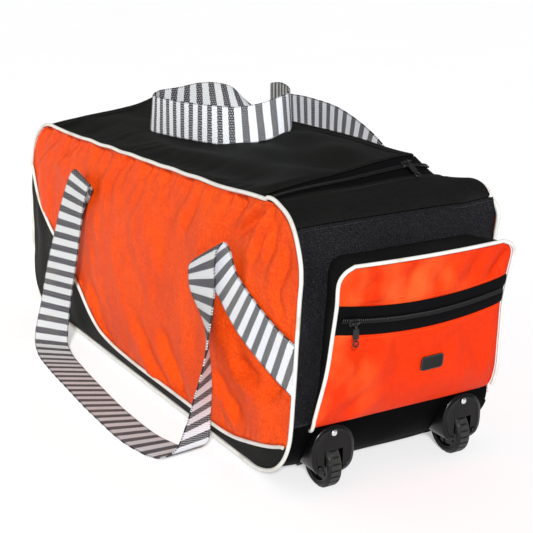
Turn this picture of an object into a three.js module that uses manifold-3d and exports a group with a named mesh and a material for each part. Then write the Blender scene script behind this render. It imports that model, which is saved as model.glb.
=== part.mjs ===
// Wheeled kit bag: soft hollow body, domed zipped lid, end pocket, striped handles and two wheels.
// Lengths are in mm. X runs from the tail to the wheels, Y from the near to the far side,
// Z up from the floor.
import * as THREE from "three";
import { mergeVertices } from "three/addons/utils/BufferGeometryUtils.js";
import Module from "manifold-3d";

const wasm = await Module();
wasm.setup();

// Body
const HALF_WIDTH_FOOT = 158;
const HALF_WIDTH_TOP = 146;
const TOP_LEVEL = 350;
const SIDE_BULGE = 18;
const CLOTH = 2;
const SEAM_GAP = 0.4;
const PIPING_R = 2.8;
const PIPING_SIDES = 5;
const CORNER = {
  tailFoot: { x: -452, z: 9, reachX: 45, reachZ: 58 },
  wheelFoot: { x: 453, z: 11, reachX: 90, reachZ: 84 },
  wheelTop: { x: 464, z: 366, reachX: 70, reachZ: 85 },
  tailTop: { x: -454, z: 342, reachX: 115, reachZ: 100 },
};

// Seams round the body, as places on the outline (see outline)
const BASE_TO_BAND = 1.3;
const BAND_TO_END = 1.97;
const END_TO_TOP = 3.5;
const TOP_TO_TAIL = 5.5;
const TAIL_TO_BASE = 7.5;

// How far the cloth between the two sides swells out, by place on the outline
const CROWN = [
  { place: 0.0, out: 14 },
  { place: 1.0, out: 14 },
  { place: BASE_TO_BAND, out: 3 },
  { place: BAND_TO_END, out: 3 },
  { place: END_TO_TOP, out: 4 },
  { place: 4.0, out: 5 },
  { place: 5.0, out: 5 },
  { place: TOP_TO_TAIL, out: 6 },
  { place: 6.5, out: 14 },
  { place: TAIL_TO_BASE, out: 3 },
  { place: 8.0, out: 14 },
];

// Sweeping seam between the orange and the black of each long side
const ACCENT_SEAM = [
  { x: -454, z: 260 },
  { x: -436, z: 245 },
  { x: -389, z: 206 },
  { x: -340, z: 180 },
  { x: -300, z: 159 },
  { x: -246, z: 130 },
  { x: -201, z: 103 },
  { x: -158, z: 64 },
  { x: -128, z: 45 },
  { x: -80, z: 35 },
  { x: 0, z: 31 },
  { x: 208, z: 31 },
  { x: 270, z: 29 },
  { x: 320, z: 33 },
  { x: 370, z: 44 },
  { x: 417, z: 56 },
  { x: 440, z: 64 },
];

// Broad dents and folds in the long sides: middle, lean from upright, half length, half breadth, depth
const SIDE_FOLDS = [
  { x: 372, z: 300, lean: -12, half: 75, breadth: 20, depth: 5 },
  { x: 300, z: 150, lean: 35, half: 90, breadth: 34, depth: -4 },
  { x: 120, z: 250, lean: 10, half: 110, breadth: 40, depth: 4 },
  { x: -20, z: 150, lean: -20, half: 120, breadth: 45, depth: -4 },
  { x: -230, z: 230, lean: 25, half: 90, breadth: 40, depth: 4 },
  { x: -330, z: 90, lean: 50, half: 90, breadth: 36, depth: 4 },
];

// Tail end of the far top edge, where the soft side rolls up over the top
const FAR_ROLL = { x: -335, half: 105, up: 20, inward: 30, fromZ: 220, toZ: 345 };

// Far top edge towards the wheels, where the soft side sinks
const FAR_SINK = { x: 320, half: 90, down: 17, fromY: 67, fromZ: 250, toZ: 345 };

// Lid and main zip
const LID_LIFT = 22;
const ZIP_WIDTH = 30;
const ZIP_WHEEL_X = 380;
const ZIP_TAIL_X = -366;
const ZIP_FAR = 118;
const ZIP_BEND = 42;
const LID_GAP = 1.2;
const TEETH_SHARE = 0.2;
const TEETH_HEIGHT = 2.2;

// End pocket: level, face of the front, half width at the front and at the bag
const POCKET = [
  { z: 91, face: 461, front: 131, back: 124 },
  { z: 99, face: 474, front: 136, back: 122 },
  { z: 125, face: 486, front: 137, back: 119 },
  { z: 175, face: 496, front: 130, back: 116 },
  { z: 224, face: 502, front: 126, back: 114 },
  { z: 261, face: 510, front: 126, back: 112 },
  { z: 292, face: 516, front: 127, back: 111 },
  { z: 301, face: 517, front: 121, back: 106 },
  { z: 307, face: 517, front: 108, back: 96 },
];
const POCKET_SWELL = 6;
const POCKET_ZIP_LOW = 224;
const POCKET_ZIP_HIGH = 261;
const POCKET_SAG = 11;
const POCKET_TEETH_Z = 243;
const POCKET_SLIDER_Y = -105;
const PATCH = { y: 20, z: 163, width: 34, height: 22, round: 5, thick: 1.2 };

// Wheels, axles and their corner housings
const WHEEL_X = 440;
const WHEEL_Y = 100;
const WHEEL_R = 33;
const WHEEL_WIDTH = 20;
const AXLE_R = 3;
const AXLE_LENGTH = 42;
const AXLE_PLAY = 0.3;
const WELL_R = 36.5;
const WELL_WIDTH = 27;
const WELL_WALL = 3;
const HOUSING_WIDTH = 62;
const HOUSING_FOOT = 22;
const HOUSING_TOP = 91;
const HOUSING_BACK = 392;
const HOUSING_FACE = 466;
const HOUSING_EDGE = 4;
const RIVET_R = 4;

// Webbing of both handles
const WEB_WIDTH = 56;
const WEB_THICK = 2.4;
const SEWN_OFF = 1.7;

// Near handle, edge by edge. A sewn row lies on the side of the bag, a free row has its own y.
// p is the edge that is lower on the wheel-end leg, q is the other one.
const NEAR_HANDLE = [
  { sewn: true, px: 450, pz: 143, qx: 454, qz: 208 },
  { sewn: true, px: 408, pz: 160, qx: 432, qz: 215 },
  { sewn: true, px: 350, pz: 189, qx: 378, qz: 240 },
  { sewn: true, px: 300, pz: 221, qx: 338, qz: 264 },
  { px: 266, py: -172, pz: 248, qx: 322, qy: -166, qz: 292 },
  { px: 258, py: -182, pz: 262, qx: 317, qy: -170, qz: 301 },
  { px: 252, py: -188, pz: 254, qx: 308, qy: -176, qz: 288 },
  { px: 250, py: -186, pz: 226, qx: 300, qy: -178, qz: 232 },
  { px: 272, py: -178, pz: 178, qx: 320, qy: -196, qz: 184 },
  { px: 284, py: -178, pz: 140, qx: 328, qy: -208, qz: 146 },
  { px: 288, py: -178, pz: 98, qx: 322, qy: -218, qz: 102 },
  { px: 280, py: -176, pz: 50, qx: 306, qy: -226, qz: 52 },
  { px: 288, py: -184, pz: 20, qx: 300, qy: -238, qz: 22 },
  { px: 272, py: -196, pz: 4, qx: 276, qy: -252, qz: 5 },
  { px: 225, py: -218, pz: 3, qx: 228, qy: -271, qz: 8 },
  { px: 120, py: -226, pz: 3, qx: 120, qy: -276, qz: 12 },
  { px: 0, py: -221, pz: 3, qx: -4, qy: -271, qz: 12 },
  { px: -80, py: -216, pz: 3, qx: -90, qy: -264, qz: 10 },
  { px: -148, py: -208, pz: 4, qx: -172, qy: -254, qz: 8 },
  { px: -186, py: -201, pz: 14, qx: -218, qy: -241, qz: 18 },
  { px: -179, py: -194, pz: 76, qx: -226, qy: -225, qz: 80 },
  { px: -160, py: -189, pz: 142, qx: -209, qy: -217, qz: 145 },
  { px: -144, py: -184, pz: 206, qx: -196, qy: -204, qz: 208 },
  { px: -134, py: -180, pz: 254, qx: -186, qy: -191, qz: 262 },
  { px: -123, py: -174, pz: 286, qx: -172, qy: -179, qz: 303 },
  { px: -133, py: -167, pz: 276, qx: -179, qy: -168, qz: 296 },
  { sewn: true, px: -160, pz: 239, qx: -196, qz: 281 },
  { sewn: true, px: -196, pz: 205, qx: -232, qz: 248 },
  { sewn: true, px: -232, pz: 178, qx: -268, qz: 221 },
  { sewn: true, px: -268, pz: 156, qx: -303, qz: 198 },
];

// Far handle: the same webbing, with its loop thrown over on to the lid.
// A row with a rise stands on the lid: its p edge is on the cloth and its q edge is that much higher.
const FAR_HANDLE = [
  { sewn: true, px: 450, pz: 143, qx: 454, qz: 208 },
  { sewn: true, px: 408, pz: 160, qx: 432, qz: 215 },
  { sewn: true, px: 350, pz: 189, qx: 378, qz: 240 },
  { sewn: true, px: 300, pz: 221, qx: 338, qz: 264 },
  { px: 213, py: 170, pz: 281, qx: 249, qy: 166, qz: 324 },
  { px: 136, py: 166, pz: 326, qx: 162, qy: 163, qz: 375 },
  { px: 56, py: 164, pz: 348, qx: 66, qy: 160, qz: 403 },
  { px: -30, py: 162, pz: 352, qx: -28, qy: 159, qz: 407 },
  { px: -82, py: 160, pz: 351, qx: -82, qy: 157, qz: 406 },
  { px: -102, py: 148, pz: 361, qx: -101, qy: 146, qz: 413 },
  { px: -84, py: 128, pz: 368, qx: -84, qy: 128, qz: 422 },
  { px: -10, py: 104, qx: -14, qy: 106, rise: 55 },
  { px: 70, py: 74, qx: 58, qy: 78, rise: 54 },
  { px: 110, py: 44, qx: 88, qy: 52, rise: 52 },
  { px: 112, py: 12, qx: 86, qy: 22, rise: 49 },
  { px: 84, py: -15, qx: 62, qy: -6, rise: 50 },
  { px: -10, py: -36, qx: -10, qy: -34, rise: 55 },
  { px: -90, py: -46, qx: -92, qy: -44, rise: 55 },
  { px: -152, py: -46, qx: -152, qy: -40, rise: 54 },
  { px: -178, py: -26, qx: -176, qy: -20, rise: 54 },
  { px: -164, py: -2, qx: -158, qy: 2, rise: 54 },
  { px: -130, py: 38, qx: -146, qy: 42, rise: 51 },
  { px: -98, py: 74, qx: -134, qy: 80, rise: 40 },
  { px: -72, py: 104, qx: -124, qy: 106, rise: 12 },
  { px: -56, py: 132, pz: 366, qx: -112, qy: 132, qz: 367 },
  { px: -52, py: 150, pz: 361, qx: -108, qy: 150, qz: 361 },
  { px: -58, py: 162, pz: 342, qx: -109, qy: 161, qz: 357 },
  { px: -88, py: 164, pz: 306, qx: -124, qy: 163, qz: 349 },
  { sewn: true, px: -134, pz: 261, qx: -170, qz: 304 },
  { sewn: true, px: -190, pz: 210, qx: -226, qz: 253 },
  { sewn: true, px: -232, pz: 178, qx: -268, qz: 221 },
  { sewn: true, px: -268, pz: 156, qx: -303, qz: 198 },
];

// Finishes
function paint(color, roughness, metalness = 0) {
  return new THREE.MeshStandardMaterial({ color, roughness, metalness });
}
const FINISH = {
  orange: paint(0xf8481c, 0.62),
  black: paint(0x16171a, 0.75),
  weave: paint(0x1b1c22, 0.85),
  white: paint(0xeeeeea, 0.45),
  webbing: paint(0xb9b9b6, 0.8),
  plastic: paint(0x111214, 0.35),
  rubber: paint(0x191a1b, 0.7),
  steel: paint(0xc4c5c8, 0.3, 1),
  darkMetal: paint(0x2b2c30, 0.4, 0.8),
};

// Small helpers
const vec = (x, y, z) => new THREE.Vector3(x, y, z);
const mix = THREE.MathUtils.lerp;
const ramp = THREE.MathUtils.smoothstep;

// Value of a column of a table at a place in its key column, straight between rows
function tableAt(table, key, column, at) {
  let i = 1;
  while (i < table.length - 1 && table[i][key] < at) i += 1;
  const from = table[i - 1];
  const to = table[i];
  const share = THREE.MathUtils.clamp((at - from[key]) / (to[key] - from[key]), 0, 1);
  return mix(from[column], to[column], share);
}

// Closed geometry from corner points and triangles, turned so that its faces look outwards
function closedGeometry(points, faces) {
  let volume = 0;
  for (const [a, b, c] of faces) {
    volume += points[a].dot(vec(0, 0, 0).crossVectors(points[b], points[c]));
  }
  const turned = volume < 0 ? faces.map(([a, b, c]) => [a, c, b]) : faces;
  const geometry = new THREE.BufferGeometry();
  geometry.setFromPoints(points);
  geometry.setIndex(turned.flat());
  geometry.computeVertexNormals();
  return geometry;
}

// Thin closed sheet between an outer and an inner layer, each a function of two shares from 0 to 1
function sheet(alongCount, acrossCount, outer, inner) {
  const points = [];
  const faces = [];
  const width = acrossCount + 1;
  const layer = width * (alongCount + 1);
  for (const side of [outer, inner]) {
    for (let i = 0; i <= alongCount; i += 1) {
      for (let j = 0; j <= acrossCount; j += 1) points.push(side(i / alongCount, j / acrossCount));
    }
  }
  const at = (i, j) => i * width + j;
  for (let i = 0; i < alongCount; i += 1) {
    for (let j = 0; j < acrossCount; j += 1) {
      const [a, b, c, d] = [at(i, j), at(i + 1, j), at(i + 1, j + 1), at(i, j + 1)];
      faces.push([a, b, c], [a, c, d], [layer + a, layer + c, layer + b], [layer + a, layer + d, layer + c]);
    }
  }
  const rim = [];
  for (let i = 0; i < alongCount; i += 1) rim.push([at(i, 0), at(i + 1, 0)]);
  for (let j = 0; j < acrossCount; j += 1) rim.push([at(alongCount, j), at(alongCount, j + 1)]);
  for (let i = alongCount; i > 0; i -= 1) rim.push([at(i, acrossCount), at(i - 1, acrossCount)]);
  for (let j = acrossCount; j > 0; j -= 1) rim.push([at(0, j), at(0, j - 1)]);
  for (const [a, b] of rim) faces.push([b, a, layer + a], [b, layer + a, layer + b]);
  return closedGeometry(points, faces);
}

// Solid through a row of like sections, closed into a ring or capped at both ends
function loft(sections, ring) {
  const size = sections[0].length;
  const points = sections.flat();
  const faces = [];
  const last = ring ? sections.length : sections.length - 1;
  for (let i = 0; i < last; i += 1) {
    const here = i * size;
    const next = ((i + 1) % sections.length) * size;
    for (let j = 0; j < size; j += 1) {
      const k = (j + 1) % size;
      faces.push([here + j, here + k, next + k], [here + j, next + k, next + j]);
    }
  }
  if (!ring) {
    const end = (sections.length - 1) * size;
    for (let j = 1; j < size - 1; j += 1) {
      faces.push([0, j + 1, j], [end, end + j, end + j + 1]);
    }
  }
  return closedGeometry(points, faces);
}

// Solid for joining and cutting, from any closed geometry
function solid(geometry) {
  const bare = geometry.clone();
  bare.deleteAttribute("normal");
  bare.deleteAttribute("uv");
  const merged = mergeVertices(bare, 1e-4);
  const vertProperties = new Float32Array(merged.attributes.position.array);
  const triVerts = new Uint32Array(merged.index.array);
  return new wasm.Manifold(new wasm.Mesh({ numProp: 3, vertProperties, triVerts }));
}

// Geometry of a joined or cut solid
function geometryOf(body) {
  const mesh = body.getMesh();
  const geometry = new THREE.BufferGeometry();
  geometry.setAttribute("position", new THREE.BufferAttribute(new Float32Array(mesh.vertProperties), 3));
  geometry.setIndex(Array.from(mesh.triVerts));
  geometry.computeVertexNormals();
  return geometry;
}

// Box between two corners
function box(low, high) {
  const size = vec(0, 0, 0).subVectors(high, low);
  const middle = vec(0, 0, 0).addVectors(low, high).multiplyScalar(0.5);
  return new THREE.BoxGeometry(size.x, size.y, size.z).translate(middle.x, middle.y, middle.z);
}

// Round bar along Y
function barAlongY(radius, length, x, y, z, sides = 24) {
  return new THREE.CylinderGeometry(radius, radius, length, sides).translate(x, y, z);
}

// Soft roll and sink of the far top edge, applied to every piece so that seams stay shut
function rolled(geometry) {
  const position = geometry.attributes.position;
  for (let i = 0; i < position.count; i += 1) {
    const [x, y, z] = [position.getX(i), position.getY(i), position.getZ(i)];
    const along = Math.exp(-(((x - FAR_ROLL.x) / FAR_ROLL.half) ** 2));
    const share = along * ramp(y, 0, HALF_WIDTH_TOP) * ramp(z, FAR_ROLL.fromZ, FAR_ROLL.toZ);
    const near = Math.exp(-(((x - FAR_SINK.x) / FAR_SINK.half) ** 2));
    const sunk = near * ramp(y, FAR_SINK.fromY, HALF_WIDTH_TOP) * ramp(z, FAR_SINK.fromZ, FAR_SINK.toZ);
    position.setXYZ(i, x, y - FAR_ROLL.inward * share, z + FAR_ROLL.up * share - FAR_SINK.down * sunk);
  }
  geometry.computeVertexNormals();
  return geometry;
}

const group = new THREE.Group();

// Named piece of the bag
function piece(name, geometry, material) {
  const mesh = new THREE.Mesh(rolled(geometry), material);
  mesh.name = name;
  group.add(mesh);
  return mesh;
}

// Half width of the body at a level
function halfWidth(z) {
  return mix(HALF_WIDTH_FOOT, HALF_WIDTH_TOP, z / TOP_LEVEL);
}

// Point of a rounded corner, turned from one of its ends to the other
function cornerPoint(corner, turn) {
  const inX = corner.x > 0 ? corner.x - corner.reachX : corner.x + corner.reachX;
  const inZ = corner.z > 100 ? corner.z - corner.reachZ : corner.z + corner.reachZ;
  return { x: inX + corner.reachX * Math.cos(turn), z: inZ + corner.reachZ * Math.sin(turn) };
}

// Outline of a long side. Whole numbers are the starts of its eight stretches:
// 0 foot, 1 wheel foot corner, 2 wheel end, 3 wheel top corner,
// 4 top, 5 tail top corner, 6 tail end, 7 tail foot corner
function outline(place) {
  const at = ((place % 8) + 8) % 8;
  const stretch = Math.floor(at);
  const share = at - stretch;
  const corners = [CORNER.tailFoot, CORNER.wheelFoot, CORNER.wheelTop, CORNER.tailTop];
  const index = Math.floor(stretch / 2);
  const next = corners[(index + 1) % 4];
  const startTurn = ((index - 1) * Math.PI) / 2;
  if (stretch % 2 === 1) return cornerPoint(next, startTurn + (share * Math.PI) / 2);
  const from = cornerPoint(corners[index], startTurn);
  const to = cornerPoint(next, startTurn);
  return { x: mix(from.x, to.x, share), z: mix(from.z, to.z, share) };
}

// Outward direction of the outline
function outward(place) {
  const before = outline(place - 0.004);
  const after = outline(place + 0.004);
  const length = Math.hypot(after.x - before.x, after.z - before.z);
  return { x: (after.z - before.z) / length, z: -(after.x - before.x) / length };
}

// Level of the foot or of the top of a long side at a place along it
function edgeLevel(x, tail, wheel, up) {
  const tailIn = tail.x + tail.reachX;
  const wheelIn = wheel.x - wheel.reachX;
  if (x < tailIn) {
    const share = Math.min(1, (tailIn - x) / tail.reachX);
    return tail.z + up * tail.reachZ * (1 - Math.sqrt(1 - share * share));
  }
  if (x > wheelIn) {
    const share = Math.min(1, (x - wheelIn) / wheel.reachX);
    return wheel.z + up * wheel.reachZ * (1 - Math.sqrt(1 - share * share));
  }
  return mix(tail.z, wheel.z, (x - tailIn) / (wheelIn - tailIn));
}

// Foot and top of a long side at a share of its length
function sideColumn(share) {
  const footX = mix(CORNER.tailFoot.x, CORNER.wheelFoot.x, share);
  const topX = mix(CORNER.tailTop.x, CORNER.wheelTop.x, share);
  const footZ = edgeLevel(footX, CORNER.tailFoot, CORNER.wheelFoot, 1);
  const topZ = edgeLevel(topX, CORNER.tailTop, CORNER.wheelTop, -1);
  return { footX, footZ, topX, topZ };
}

// Depth of the folds of a long side
function foldDepth(x, z) {
  let depth = 0;
  for (const fold of SIDE_FOLDS) {
    const lean = THREE.MathUtils.degToRad(fold.lean);
    const along = (x - fold.x) * Math.sin(lean) + (z - fold.z) * Math.cos(lean);
    const across = (x - fold.x) * Math.cos(lean) - (z - fold.z) * Math.sin(lean);
    depth += fold.depth * Math.exp(-((along / fold.half) ** 2) - (across / fold.breadth) ** 2);
  }
  return depth;
}

// Point of the long side at shares of its length and height.
// hand is -1 for the near side, 1 for the far side.
function sidePoint(share, height, hand, inset) {
  const column = sideColumn(share);
  const x = mix(column.footX, column.topX, height);
  const z = mix(column.footZ, column.topZ, height);
  const free = (1 - Math.abs(2 * share - 1) ** 6) * (1 - Math.abs(2 * height - 1) ** 2.5);
  const swell = free * (SIDE_BULGE - foldDepth(x, z));
  return vec(x, hand * (halfWidth(z) + swell - inset), z);
}

// Distance of the long side's face from the middle at a place on it
function sideFace(x, z) {
  const height = THREE.MathUtils.clamp((z - 10) / (TOP_LEVEL - 10), 0, 1);
  const tailX = mix(CORNER.tailFoot.x, CORNER.tailTop.x, height);
  const wheelX = mix(CORNER.wheelFoot.x, CORNER.wheelTop.x, height);
  const share = THREE.MathUtils.clamp((x - tailX) / (wheelX - tailX), 0, 1);
  const column = sideColumn(share);
  const up = THREE.MathUtils.clamp((z - column.footZ) / (column.topZ - column.footZ), 0, 1);
  return sidePoint(share, up, 1, 0).y;
}

// Columns of the long sides, closer together towards the rounded ends
const COLUMN_COUNT = 26;
const COLUMNS = Array.from({ length: COLUMN_COUNT + 1 }, (_, i) => {
  return 0.5 - 0.5 * Math.cos((Math.PI * i) / COLUMN_COUNT);
});

// Height of the sweeping seam in a column
function seamHeight(share) {
  const column = sideColumn(share);
  const level = tableAt(ACCENT_SEAM, "x", "z", mix(column.footX, column.topX, 0.3));
  return THREE.MathUtils.clamp((level - column.footZ) / (column.topZ - column.footZ), 0, 0.985);
}
const SEAM_END = COLUMNS.findLastIndex((share) => seamHeight(share) > 0.012);

// Orange and black cloth of one long side
function sidePanels(name, hand) {
  const split = (share) => {
    const column = sideColumn(share);
    return SEAM_GAP / (column.topZ - column.footZ);
  };
  const orange = (inset) => (along, up) => {
    const share = COLUMNS[Math.round(along * COLUMN_COUNT)];
    const seam = Math.round(along * COLUMN_COUNT) > SEAM_END ? 0 : seamHeight(share) + split(share);
    return sidePoint(share, mix(seam, 1, up), hand, inset);
  };
  const black = (inset) => (along, up) => {
    const share = COLUMNS[Math.round(along * SEAM_END)];
    return sidePoint(share, (seamHeight(share) - split(share)) * up ** 0.25, hand, inset);
  };
  piece(`${name}_side_panel`, sheet(COLUMN_COUNT, 6, orange(0), orange(CLOTH)), FINISH.orange);
  piece(`${name}_accent_panel`, sheet(SEAM_END, 2, black(0), black(CLOTH)), FINISH.black);
}

// Round section of piping about a middle, in the plane of two directions
function ringSection(middle, right, up) {
  return Array.from({ length: PIPING_SIDES }, (_, i) => {
    const turn = Math.PI + (2 * Math.PI * i) / PIPING_SIDES;
    return middle
      .clone()
      .addScaledVector(right, PIPING_R * Math.cos(turn))
      .addScaledVector(up, PIPING_R * Math.sin(turn));
  });
}

// Piping that follows a row of points, standing off them in the directions given with them
function piping(stations, ring) {
  const count = stations.length;
  const sections = stations.map(({ at, off }, i) => {
    const before = stations[ring ? (i + count - 1) % count : Math.max(0, i - 1)].at;
    const after = stations[ring ? (i + 1) % count : Math.min(count - 1, i + 1)].at;
    const forward = vec(0, 0, 0).subVectors(after, before).normalize();
    const right = off.clone().addScaledVector(forward, -off.dot(forward)).normalize();
    const up = vec(0, 0, 0).crossVectors(forward, right);
    return ringSection(at.clone().addScaledVector(off, PIPING_R + SEAM_GAP), right, up);
  });
  return loft(sections, ring);
}

// White piping round the outline of a long side and along its sweeping seam
function sidePiping(name, hand) {
  const ringPoints = [];
  for (let i = 0; i <= COLUMN_COUNT; i += 1) ringPoints.push(sidePoint(COLUMNS[i], 0, hand, 0));
  ringPoints.push(sidePoint(1, 0.33, hand, 0), sidePoint(1, 0.67, hand, 0));
  for (let i = COLUMN_COUNT; i >= 0; i -= 1) ringPoints.push(sidePoint(COLUMNS[i], 1, hand, 0));
  ringPoints.push(sidePoint(0, 0.67, hand, 0), sidePoint(0, 0.33, hand, 0));
  const count = ringPoints.length;
  const stations = ringPoints.map((at, i) => {
    const back = vec(0, 0, 0).subVectors(at, ringPoints[(i + count - 1) % count]).setY(0).normalize();
    const on = vec(0, 0, 0).subVectors(ringPoints[(i + 1) % count], at).setY(0).normalize();
    const out = vec(back.z + on.z, 0, -back.x - on.x).normalize();
    const spread = 1 / Math.max(0.7, out.dot(vec(on.z, 0, -on.x)));
    return { at, off: out.multiplyScalar(0.7 * spread).setY(0.7 * hand) };
  });
  piece(`${name}_outline_piping`, piping(stations, true), FINISH.white);
  const seam = [];
  for (let i = 2; i < SEAM_END; i += 1) {
    seam.push({ at: sidePoint(COLUMNS[i], seamHeight(COLUMNS[i]), hand, 0), off: vec(0, hand, 0) });
  }
  piece(`${name}_accent_piping`, piping(seam, false), FINISH.white);
}

// Swell of the cloth between the sides at a place on the outline and a share across from -1 to 1
function crown(place, across) {
  const at = ((place % 8) + 8) % 8;
  return tableAt(CROWN, "place", "out", at) * (1 - across ** 4);
}

// Point of the cloth between the sides, raised off the outline
function wrapPoint(place, across, raise) {
  const at = outline(place);
  const out = outward(place);
  const y = across * (halfWidth(at.z) - CLOTH - SEAM_GAP);
  return vec(at.x + out.x * raise, y, at.z + out.z * raise);
}

// Cloth across the bag between two seams
function wrapSheet(from, to, alongCount, acrossCount) {
  const layer = (inset) => (along, over) => {
    const place = mix(from + 0.003, to - 0.003, along);
    const across = mix(-1, 1, over);
    return wrapPoint(place, across, crown(place, across) - inset);
  };
  return sheet(alongCount, acrossCount, layer(0), layer(CLOTH));
}

// Base, flat where it lies on the floor
function basePanel() {
  const layer = (inset) => (along, over) => {
    const place = mix(TAIL_TO_BASE - 8 + 0.004, BASE_TO_BAND - 0.004, along);
    const across = mix(-1, 1, over);
    const at = wrapPoint(place, across, crown(place, across) - inset);
    return at.setZ(Math.max(inset, at.z));
  };
  return sheet(14, 8, layer(0), layer(CLOTH));
}

// Lengths along the top from the wheel-end seam, and back to places on the outline
const TOP_STEPS = 240;
const TOP_LENGTHS = [{ place: END_TO_TOP, run: 0 }];
for (let i = 1; i <= TOP_STEPS; i += 1) {
  const place = mix(END_TO_TOP, TOP_TO_TAIL, i / TOP_STEPS);
  const before = outline(TOP_LENGTHS[i - 1].place);
  const here = outline(place);
  TOP_LENGTHS.push({ place, run: TOP_LENGTHS[i - 1].run + Math.hypot(here.x - before.x, here.z - before.z) });
}
const TOP_RUN = TOP_LENGTHS[TOP_STEPS].run;
const topPlace = (run) => tableAt(TOP_LENGTHS, "run", "place", run);

// Length along the top at which it reaches an x
function topRun(x) {
  const step = TOP_LENGTHS.findIndex(({ place }) => outline(place).x <= x);
  return TOP_LENGTHS[step].run;
}
const ZIP_WHEEL_RUN = topRun(ZIP_WHEEL_X);
const ZIP_TAIL_RUN = topRun(ZIP_TAIL_X);
const TOP_SPAN = HALF_WIDTH_TOP - CLOTH - SEAM_GAP;

// Point of the top at a length along it and a distance from its middle line.
// lift is the share of the lid's rise.
function topPoint(run, span, lift, raise) {
  const place = topPlace(run);
  const across = THREE.MathUtils.clamp(span / TOP_SPAN, -1, 1);
  const rise = LID_LIFT * ((1 + across) / (1 + (ZIP_FAR - ZIP_WIDTH / 2) / TOP_SPAN)) ** 0.9;
  return wrapPoint(place, across, crown(place, across) + lift * rise + raise);
}

// Level of the lid's face at a place on it
function lidLevel(x, y) {
  return topPoint(topRun(x), y, 1, 0).z;
}

// Three-sided path round the lid: along the wheel end, the far side and the tail end
const PATH_STEPS = [5, 4, 12, 4, 5];
const PATH_COUNT = PATH_STEPS.reduce((sum, steps) => sum + steps, 0);
function lidPath(share, wheelRun, tailRun, far, bend) {
  let step = share * PATH_COUNT;
  let stretch = 0;
  while (stretch < 4 && step > PATH_STEPS[stretch] + 1e-9) {
    step -= PATH_STEPS[stretch];
    stretch += 1;
  }
  const part = step / PATH_STEPS[stretch];
  const turn = (part * Math.PI) / 2;
  if (stretch === 0) return { run: wheelRun, span: mix(-TOP_SPAN, far - bend, part) };
  if (stretch === 1) {
    return { run: wheelRun + bend * (1 - Math.cos(turn)), span: far - bend + bend * Math.sin(turn) };
  }
  if (stretch === 2) return { run: mix(wheelRun + bend, tailRun - bend, part), span: far };
  if (stretch === 3) {
    return { run: tailRun - bend + bend * Math.sin(turn), span: far - bend + bend * Math.cos(turn) };
  }
  return { run: tailRun, span: mix(far - bend, -TOP_SPAN, part) };
}

// Path round the lid at a distance in from the middle of the zip
function zipPath(share, inward) {
  return lidPath(share, ZIP_WHEEL_RUN + inward, ZIP_TAIL_RUN - inward, ZIP_FAR - inward, ZIP_BEND - inward);
}

// Point of the zip's tape, over is 0 at the border and 1 at the lid
function zipPoint(share, over, raise) {
  const { run, span } = zipPath(share, mix(-ZIP_WIDTH / 2, ZIP_WIDTH / 2, over));
  return topPoint(run, span, over, raise);
}

// Black border of the zipped opening
function topBorder() {
  const layer = (inset) => (along, over) => {
    const inner = zipPath(along, -ZIP_WIDTH / 2 - LID_GAP);
    const rim = lidPath(along, 0.6, TOP_RUN - 0.6, TOP_SPAN - 2, 6);
    return topPoint(mix(rim.run, inner.run, over), mix(rim.span, inner.span, over), 0, -inset);
  };
  return sheet(PATH_COUNT, 2, layer(0), layer(CLOTH));
}

// Domed lid
function lid() {
  const bend = ZIP_BEND - ZIP_WIDTH / 2;
  const wheelRun = ZIP_WHEEL_RUN + ZIP_WIDTH / 2 + LID_GAP;
  const tailRun = ZIP_TAIL_RUN - ZIP_WIDTH / 2 - LID_GAP;
  const far = ZIP_FAR - ZIP_WIDTH / 2 - LID_GAP;
  const layer = (inset) => (along, over) => {
    const eased = mix(along, 0.5 - 0.5 * Math.cos(Math.PI * along), 0.7);
    const run = mix(wheelRun, tailRun, eased);
    const short = Math.min(1, Math.max(0, (bend - Math.min(run - wheelRun, tailRun - run)) / bend));
    const edge = far - bend * (1 - Math.sqrt(1 - short * short));
    return topPoint(run, mix(-TOP_SPAN, edge, over), 1, -inset);
  };
  return sheet(20, 6, layer(0), layer(CLOTH));
}

// Main zip's tape and its teeth
function mainZip() {
  const tape = (inset) => (along, over) => zipPoint(along, over, -inset);
  const teeth = (raise) => (along, over) => zipPoint(along, 0.5 + TEETH_SHARE * (over - 0.5), raise);
  piece("main_zip_tape", sheet(PATH_COUNT, 2, tape(0), tape(CLOTH)), FINISH.weave);
  const row = sheet(PATH_COUNT, 1, teeth(SEAM_GAP + TEETH_HEIGHT), teeth(SEAM_GAP));
  piece("main_zip_teeth", row, FINISH.darkMetal);
}

// Slider of a zip at home at the origin: X along the zip, Y across it, Z off the tape
const SLIDER_FLOOR = SEAM_GAP + TEETH_HEIGHT + 0.3;
const SLIDER_TOP = SLIDER_FLOOR + 3;
const BRIDGE_LEVEL = SLIDER_TOP + 3.4;
const BRIDGE_R = 1.2;
const EYE_R = 1.6;
function sliderBody() {
  const body = solid(box(vec(-6.5, -5, SLIDER_FLOOR), vec(6.5, 5, SLIDER_TOP)));
  const front = solid(box(vec(3.6, -1.5, SLIDER_TOP - 1), vec(5.6, 1.5, BRIDGE_LEVEL + BRIDGE_R)));
  const back = solid(box(vec(-5.6, -1.5, SLIDER_TOP - 1), vec(-3.6, 1.5, BRIDGE_LEVEL + BRIDGE_R)));
  const bar = new THREE.CylinderGeometry(BRIDGE_R, BRIDGE_R, 9, 12);
  bar.rotateZ(Math.PI / 2).translate(0, 0, BRIDGE_LEVEL);
  return geometryOf(body.add(front).add(back).add(solid(bar)));
}

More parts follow.
